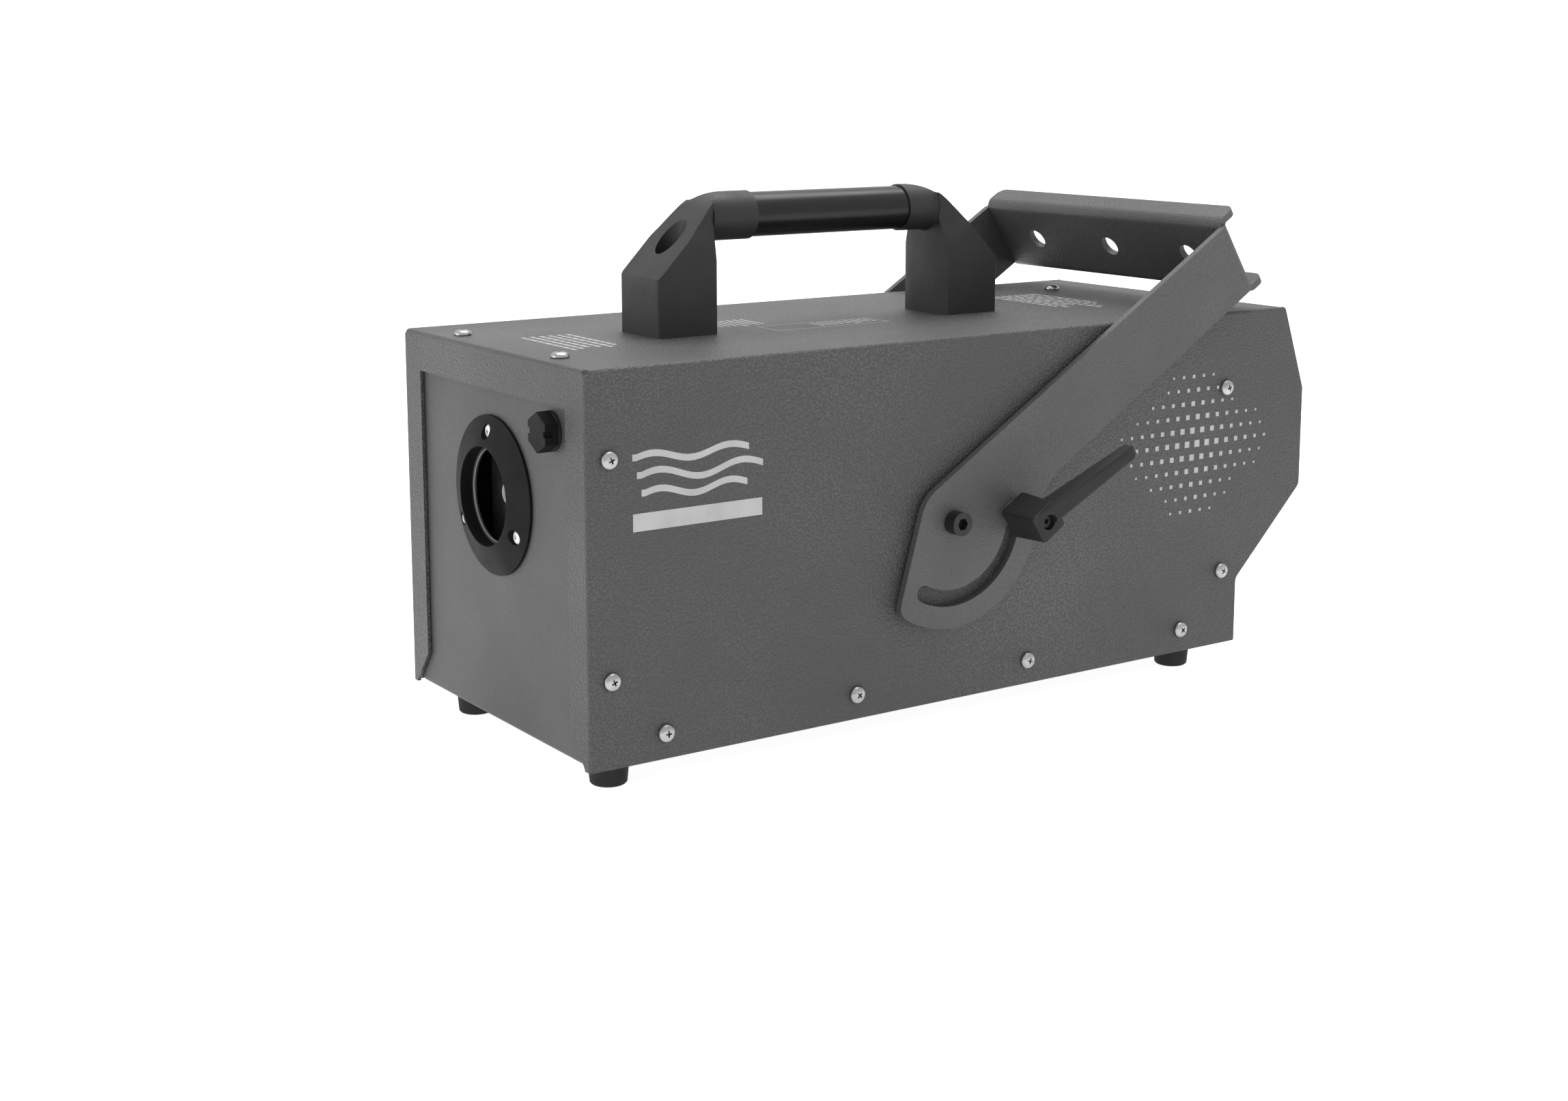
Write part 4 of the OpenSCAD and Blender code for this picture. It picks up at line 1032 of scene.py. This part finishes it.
@dataclass
class SheetBody:
    """The folded cover, tray and rear panel with their screws, feet and plain print.

    Args:
        shop: The workshop that hands pieces over.
        fold_edge: Rounding of the sheet edges, in metres.
        foot_edge: Rounding of the moulded feet, in metres.
        head: Diameter of the cover screw heads, in metres.
        head_height: Height of the cover screw heads, in metres.
        shank: Diameter of the cover screws, in metres.
        shank_length: Length of the cover screws under the head, in metres.
    """

    shop: Workshop
    fold_edge: float = 0.00035
    foot_edge: float = 0.0007
    head: float = 0.0096
    head_height: float = 0.0031
    shank: float = 0.005
    shank_length: float = 0.006

    def shells(self) -> None:
        """Rounds the raw edges of the three folded sheets."""
        for node in ("cover", "base_tray", "rear_panel"):
            self.shop.soften(node, self.fold_edge, 2, 40.0)

    def screws(self) -> None:
        """Puts a pan head screw into each hole of the cover."""
        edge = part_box("cover")[1]
        screw = HeadedScrew("cover_screw", self.head, self.head_height, self.shank, self.shank_length)
        flank = []
        for low, high in islands("side_screws"):
            centre = (low + high) / 2
            side = 1 if centre.x > 0 else -1
            flank.append((Vector((edge.x * side, centre.y, centre.z)), Vector((side, 0, 0))))
        screws = screw.stamp("side_screws_detail", flank)
        self.shop.hand_over(screws, "nickel_screw", "machine", "side_screws")
        roof = []
        for low, high in islands("top_screws"):
            centre = (low + high) / 2
            roof.append((Vector((centre.x, centre.y, edge.z)), Vector((0, 0, 1))))
        screws = screw.stamp("top_screws_detail", roof)
        self.shop.hand_over(screws, "nickel_screw", "machine", "top_screws")

    def feet(self) -> None:
        """Rounds the moulded feet."""
        self.shop.soften("rubber_feet", self.foot_edge, 3, 40.0)

    def flank_sheet(self, name: str, side: Side) -> Print:
        """An empty drawing on one flank of the cover."""
        face = Face.RIGHT if side is Side.RIGHT else Face.LEFT
        return Print(f"{name}_{side.word}", face, (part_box("cover")[1].x * side.value, 0.0, 0.0))

    def fog_mark(self, side: Side) -> None:
        """Prints plain drifting waves over a bar, near the front of a flank.

        Args:
            side: The flank that carries them.
        """
        bar_width, bar_high, bar_low = 76.0, 73.0, 82.0
        first_drop, drop, lean, line, turns = 45.0, 9.0, 2.5, 3.4, 1.5
        from_front = 26.0
        sheet = self.flank_sheet("fog_mark", side)
        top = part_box("cover")[1].z / MM
        start = self.along(side, from_front, from_front + bar_width)
        for i, (rise, width) in enumerate(((2.2, 68.0), (2.8, 74.0), (2.2, 62.0))):
            sheet.wave(start + lean * i, top - first_drop - drop * i, width, rise, line, turns)
        sheet.bars.append((start, top - bar_low, start + bar_width, top - bar_high))
        self.shop.hand_over(sheet.build(), "print_ink", "machine")

    def dot_field(self, side: Side) -> None:
        """Prints a field of square dots that shrink outwards, near the rear of a flank.

        Args:
            side: The flank that carries it.
        """
        columns, rows, pitch = 15, 11, 8.0
        largest, shrink, far, row_weight = 4.0, 0.32, 8.6, 1.2
        from_front, length, margin, drop = 346.0, 120.0, 3.0, 36.0
        sheet = self.flank_sheet("dot_field", side)
        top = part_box("cover")[1].z / MM
        start = self.along(side, from_front, from_front + length)
        for row in range(rows):
            for column in range(columns):
                reach = abs(column - columns // 2) + abs(row - rows // 2) * row_weight
                if reach < far:
                    size = largest - shrink * reach
                    x = start + margin + column * pitch + (row % 2) * pitch / 2
                    y = top - drop - row * pitch
                    sheet.bars.append((x - size / 2, y - size / 2, x + size / 2, y + size / 2))
        self.shop.hand_over(sheet.build(), "print_ink", "machine")

    def along(self, side: Side, start: float, end: float) -> float:
        """The left edge of a mark on a flank's drawing.

        Args:
            side: The flank that carries it.
            start: Where it starts behind the cover's front.
            end: Where it ends.

        Returns:
            The left edge, as seen from outside.
        """
        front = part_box("cover")[0].y / MM
        return front + start if side is Side.RIGHT else -(front + end)

    def roof_print(self) -> None:
        """Rows of plain dashes where the cover carries its small print."""
        low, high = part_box("cover")
        front = low.y / MM
        sheet = Print("roof_notes", Face.TOP, (0.0, 0.0, high.z))
        sheet.text_rows(left=-26.0, top=front + 62.0, width=62.0, rows=6, pitch=5.4, seed=11)
        sheet.text_rows(left=-30.0, top=front + 176.0, width=30.0, rows=7, pitch=4.6, seed=12)
        sheet.outline(left=4.0, low=front + 164.0, right=26.0, high=front + 240.0, line=0.7)
        sheet.text_rows(left=7.0, top=front + 236.0, width=16.0, rows=9, pitch=4.6, seed=13)
        sheet.text_rows(left=-40.0, top=front + 404.0, width=80.0, rows=8, pitch=5.0, seed=14)
        self.shop.hand_over(sheet.build(), "print_ink", "machine")

    def build(self) -> None:
        """Builds the whole body."""
        self.shells()
        self.screws()
        self.feet()
        for side in Side:
            self.fog_mark(side)
            self.dot_field(side)
        self.roof_print()


@dataclass
class FogOutlet:
    """The black outlet ring with its screws, the cut edge behind it and the vent plug.

    Args:
        shop: The workshop that hands pieces over.
        ring_edge: Rounding of the ring, in metres.
        plug_edge: Rounding of the vent plug, in metres.
        screw_head: Diameter of the ring screw heads, in metres.
        screw_height: Height of the ring screw heads, in metres.
        screw_shank: Diameter and visible length of the ring screws, in metres.
    """

    shop: Workshop
    ring_edge: float = 0.0005
    plug_edge: float = 0.0008
    screw_head: float = 0.0076
    screw_height: float = 0.002
    screw_shank: float = 0.004

    def ring(self) -> None:
        """Rounds the moulded ring and the hexagonal plug."""
        self.shop.soften("nozzle_ring", self.ring_edge, 3, 25.0, "ring_plastic", split=True)
        self.shop.soften("vent_plug", self.plug_edge, 3, 30.0, "ring_plastic")

    def screws(self) -> None:
        """Puts the three small screws into the ring."""
        size = (self.screw_head, self.screw_height, self.screw_shank, self.screw_shank)
        screw = HeadedScrew("ring_screw", *size, seed=9, drive=Drive.HEX)
        places = []
        for low, high in islands("ring_screws"):
            centre = (low + high) / 2
            places.append((Vector((centre.x, low.y + screw.height, centre.z)), Vector((0, -1, 0))))
        screws = screw.stamp("ring_screws_detail", places)
        # The ring screws take the lighter copy of the plating, a painted highlight.
        self.shop.hand_over(screws, "nickel_screw", "machine", "ring_screws", finish="bright_zinc")

    def cut_edge(self) -> None:
        """The bright cut edge of the front panel's hole, just inside the ring."""
        centre = middle("nozzle_ring")
        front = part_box("base_tray")[0].y
        hole, wall, sheet, burr = 0.02504, 0.0004, 0.0009, 0.0001
        deselect_all()
        bpy.ops.mesh.primitive_cylinder_add(vertices=96, radius=hole, depth=sheet, end_fill_type="NOTHING")
        edge = bpy.context.object
        edge.name = "panel_cut_edge"
        settle(edge)
        thick = edge.modifiers.new("wall", "SOLIDIFY")
        thick.thickness = wall
        thick.offset = -1.0
        apply_all(edge)
        bevel(edge, burr, 1, 50.0)
        edge.rotation_euler = (math.pi / 2, 0.0, 0.0)
        edge.location = (centre.x, front + burr + sheet / 2, centre.z)
        settle(edge)
        smooth(edge, 40.0)
        self.shop.hand_over(edge, "bare_edge", "machine")

    def build(self) -> None:
        """Builds the outlet."""
        self.ring()
        self.screws()
        self.cut_edge()


@dataclass
class CarryHandle:
    """The two moulded legs and the drawn tube between them.

    Args:
        shop: The workshop that hands pieces over.
        leg_edge: Rounding of the legs, in metres.
    """

    shop: Workshop
    leg_edge: float = 0.0016

    def build(self) -> None:
        """Rounds the legs; the tube keeps its shape."""
        for node in ("handle_front_leg", "handle_rear_leg"):
            self.shop.soften(node, self.leg_edge, 3, 28.0)


@dataclass
class ClampedYoke:
    """The bent yoke with its two clamping levers.

    Args:
        shop: The workshop that hands pieces over.
        plate_edge: Rounding of the plate, in metres.
        lever_edge: Rounding of the moulded levers, in metres.
    """

    shop: Workshop
    plate_edge: float = 0.0006
    lever_edge: float = 0.0006

    def spring(self, side: Side) -> None:
        """Gives a lever's spring a smooth copy of its mesh that rides on the lever's body.

        Args:
            side: The flank of the lever.
        """
        node, joint = f"lever_spring_{side.word}", f"lever_lift_{side.word}"
        coil = welded(node, f"{node}_coil")
        smooth(coil, 40.0)
        self.shop.hand_over(coil, slot_of(node), body_of(node), node)
        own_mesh(coil)

    def build(self) -> None:
        """Rounds the yoke plate and both moulded levers, and gives their springs smooth copies."""
        self.shop.soften("yoke", self.plate_edge, 2, 35.0)
        for side in Side:
            self.shop.soften(f"lever_handle_{side.word}", self.lever_edge, 3, 28.0, "lever_plastic")
            self.spring(side)


@dataclass
class RearControls:
    """The fittings of the rear panel and its plain guide marks.

    Args:
        shop: The workshop that hands pieces over.
        guide: Width of the printed guide lines, in millimetres.
        margin: How far the lines stand off the controls, in millimetres.
    """

    shop: Workshop
    guide: float = 0.7
    margin: float = 4.0

    def fittings(self) -> None:
        """Rounds the moulded fittings and the buttons."""
        for width, nodes in (
            (0.0005, ("power_inlet", "data_input", "data_output")),
            (0.0004, ("switch_housing",)),
            (0.0005, ("switch_rocker", "breaker_button")),
            (0.0002, ("display_window", "button_menu", "button_up", "button_down", "button_enter")),
        ):
            for node in nodes:
                self.shop.soften(node, width, 2, 40.0, split=node.startswith("button"))

    def guides(self) -> None:
        """Prints plain frames round the groups of controls."""
        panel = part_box("rear_panel")[1].y
        sheet = Print("panel_guides", Face.REAR, (0.0, panel, 0.0))
        for nodes in (
            ("display_window", "button_menu", "button_enter"),
            ("data_input", "data_output"),
            ("switch_housing", "breaker_body", "power_inlet"),
        ):
            lows, highs = zip(*(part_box(node) for node in nodes))
            left = -max(corner.x for corner in highs) / MM - self.margin
            right = -min(corner.x for corner in lows) / MM + self.margin
            low = min(corner.z for corner in lows) / MM - self.margin
            high = max(corner.z for corner in highs) / MM + self.margin
            sheet.outline(left, low, right, high, self.guide)
        self.shop.hand_over(sheet.build(), "print_ink", "machine")

    def build(self) -> None:
        """Builds the rear controls."""
        self.fittings()
        self.guides()


# ---- Studio ----


@dataclass(frozen=True)
class SoftBox:
    """One large soft lamp.

    Args:
        name: The lamp's name.
        place: Where it hangs, in metres.
        target: What it points at, in metres.
        size: Its width and height, in metres.
        watts: Its power.
    """

    name: str
    place: Point
    target: Point
    size: tuple[float, float]
    watts: float

    def hang(self) -> None:
        """Makes the lamp."""
        light = bpy.data.lights.new(self.name, "AREA")
        light.shape = "RECTANGLE"
        light.size, light.size_y = self.size
        light.energy = self.watts
        lamp = bpy.data.objects.new(self.name, light)
        bpy.context.scene.collection.objects.link(lamp)
        lamp.location = self.place
        lamp.rotation_euler = (Vector(self.target) - Vector(self.place)).to_track_quat("-Z", "Y").to_euler()


@dataclass
class Studio:
    """A plain pale floor, soft lamps, a white surround and the camera.

    Args:
        azimuth: Camera azimuth in degrees; 0 looks along +Y.
        elevation: Camera elevation in degrees.
        roll: Camera roll in degrees.
        place: Camera place in metres.
        lens: Focal length in millimetres.
        sensor: Width of the sensor in millimetres.
        reach: Nearest and farthest distance seen, in metres.
        rise: Vertical shift as a share of the frame's width.
        floor_radius: Radius of the floor, in metres.
        surround_strength: Strength of the white surround.
        floor_glow: Faint glow of the floor that lifts it to white.
        lamps: The soft lamps.
    """

    azimuth: float = 55.67
    elevation: float = 9.53
    roll: float = -0.03
    place: Point = (1.00066, -0.74357, 0.36253)
    lens: float = 49.777
    sensor: float = 36.0
    reach: tuple[float, float] = (0.05, 60.0)
    rise: float = -0.08
    floor_radius: float = 14.0
    surround_strength: float = 1.0
    floor_glow: float = 0.9
    lamps: tuple[SoftBox, ...] = (
        SoftBox("top_softbox", (-0.3, 0.35, 2.1), (0.0, 0.05, 0.1), (1.8, 1.8), 44.0),
        SoftBox("front_softbox", (-0.7, -2.3, 0.7), (0.0, 0.1, 0.2), (1.6, 1.2), 14.0),
    )

    def camera(self) -> None:
        """Places the camera."""
        a, e, r = (math.radians(v) for v in (self.azimuth, self.elevation, self.roll))
        back = Vector((math.sin(a) * math.cos(e), -math.cos(a) * math.cos(e), math.sin(e)))
        level = Vector((math.cos(a), math.sin(a), 0.0))
        right = level * math.cos(r) + back.cross(level) * math.sin(r)
        turn = Matrix((right, back.cross(right), back)).transposed()
        lens = bpy.data.cameras.new("main_camera")
        lens.lens, lens.sensor_width, lens.shift_y = self.lens, self.sensor, self.rise
        lens.clip_start, lens.clip_end = self.reach
        camera = bpy.data.objects.new("main_camera", lens)
        bpy.context.scene.collection.objects.link(camera)
        camera.matrix_world = Matrix.Translation(self.place) @ turn.to_4x4()
        bpy.context.scene.camera = camera

    def floor(self) -> None:
        """Lays the pale floor."""
        deselect_all()
        bpy.ops.mesh.primitive_circle_add(vertices=96, radius=self.floor_radius, fill_type="NGON")
        floor = bpy.context.object
        floor.name = "studio_floor"
        board = Board("pale_floor")
        cloud = board.noise(board.place(), 0.9, 3.0)
        shade = board.blend(cloud, (0.56, 0.56, 0.56), (0.54, 0.54, 0.545))
        board.join(shade, board.shader.inputs["Base Color"])
        board.shader.inputs["Roughness"].default_value = 0.9
        board.shader.inputs["Emission Color"].default_value = (1.0, 1.0, 1.0, 1.0)
        board.shader.inputs["Emission Strength"].default_value = self.floor_glow
        floor.data.materials.append(board.material)

    def surround(self) -> None:
        """Gives the room an even white surround."""
        world = bpy.data.worlds.new("white_room")
        world.use_nodes = True
        sky = world.node_tree.nodes["Background"]
        sky.inputs["Color"].default_value = (1.0, 1.0, 1.0, 1.0)
        sky.inputs["Strength"].default_value = self.surround_strength
        bpy.context.scene.world = world
        bpy.context.scene.view_settings.view_transform = "Standard"

    def build(self) -> None:
        """Sets up the studio."""
        self.floor()
        self.surround()
        for lamp in self.lamps:
            lamp.hang()
        self.camera()


def main() -> None:
    """Builds every sub-assembly in order and reports each piece."""
    logging.basicConfig(level=logging.INFO, format="%(name)s: %(message)s")
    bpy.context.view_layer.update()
    shop = Workshop(Palette())
    for assembly in (SheetBody, FogOutlet, CarryHandle, ClampedYoke, RearControls):
        LOG.info("building %s", assembly.__name__)
        assembly(shop).build()
    shop.dress_the_rest({"nozzle_tip": "tip_metal", "heater_brackets": "sooted_steel"})
    Studio().build()
    LOG.info("%d new pieces", len(shop.made))


if __name__ == "__main__":
    main()
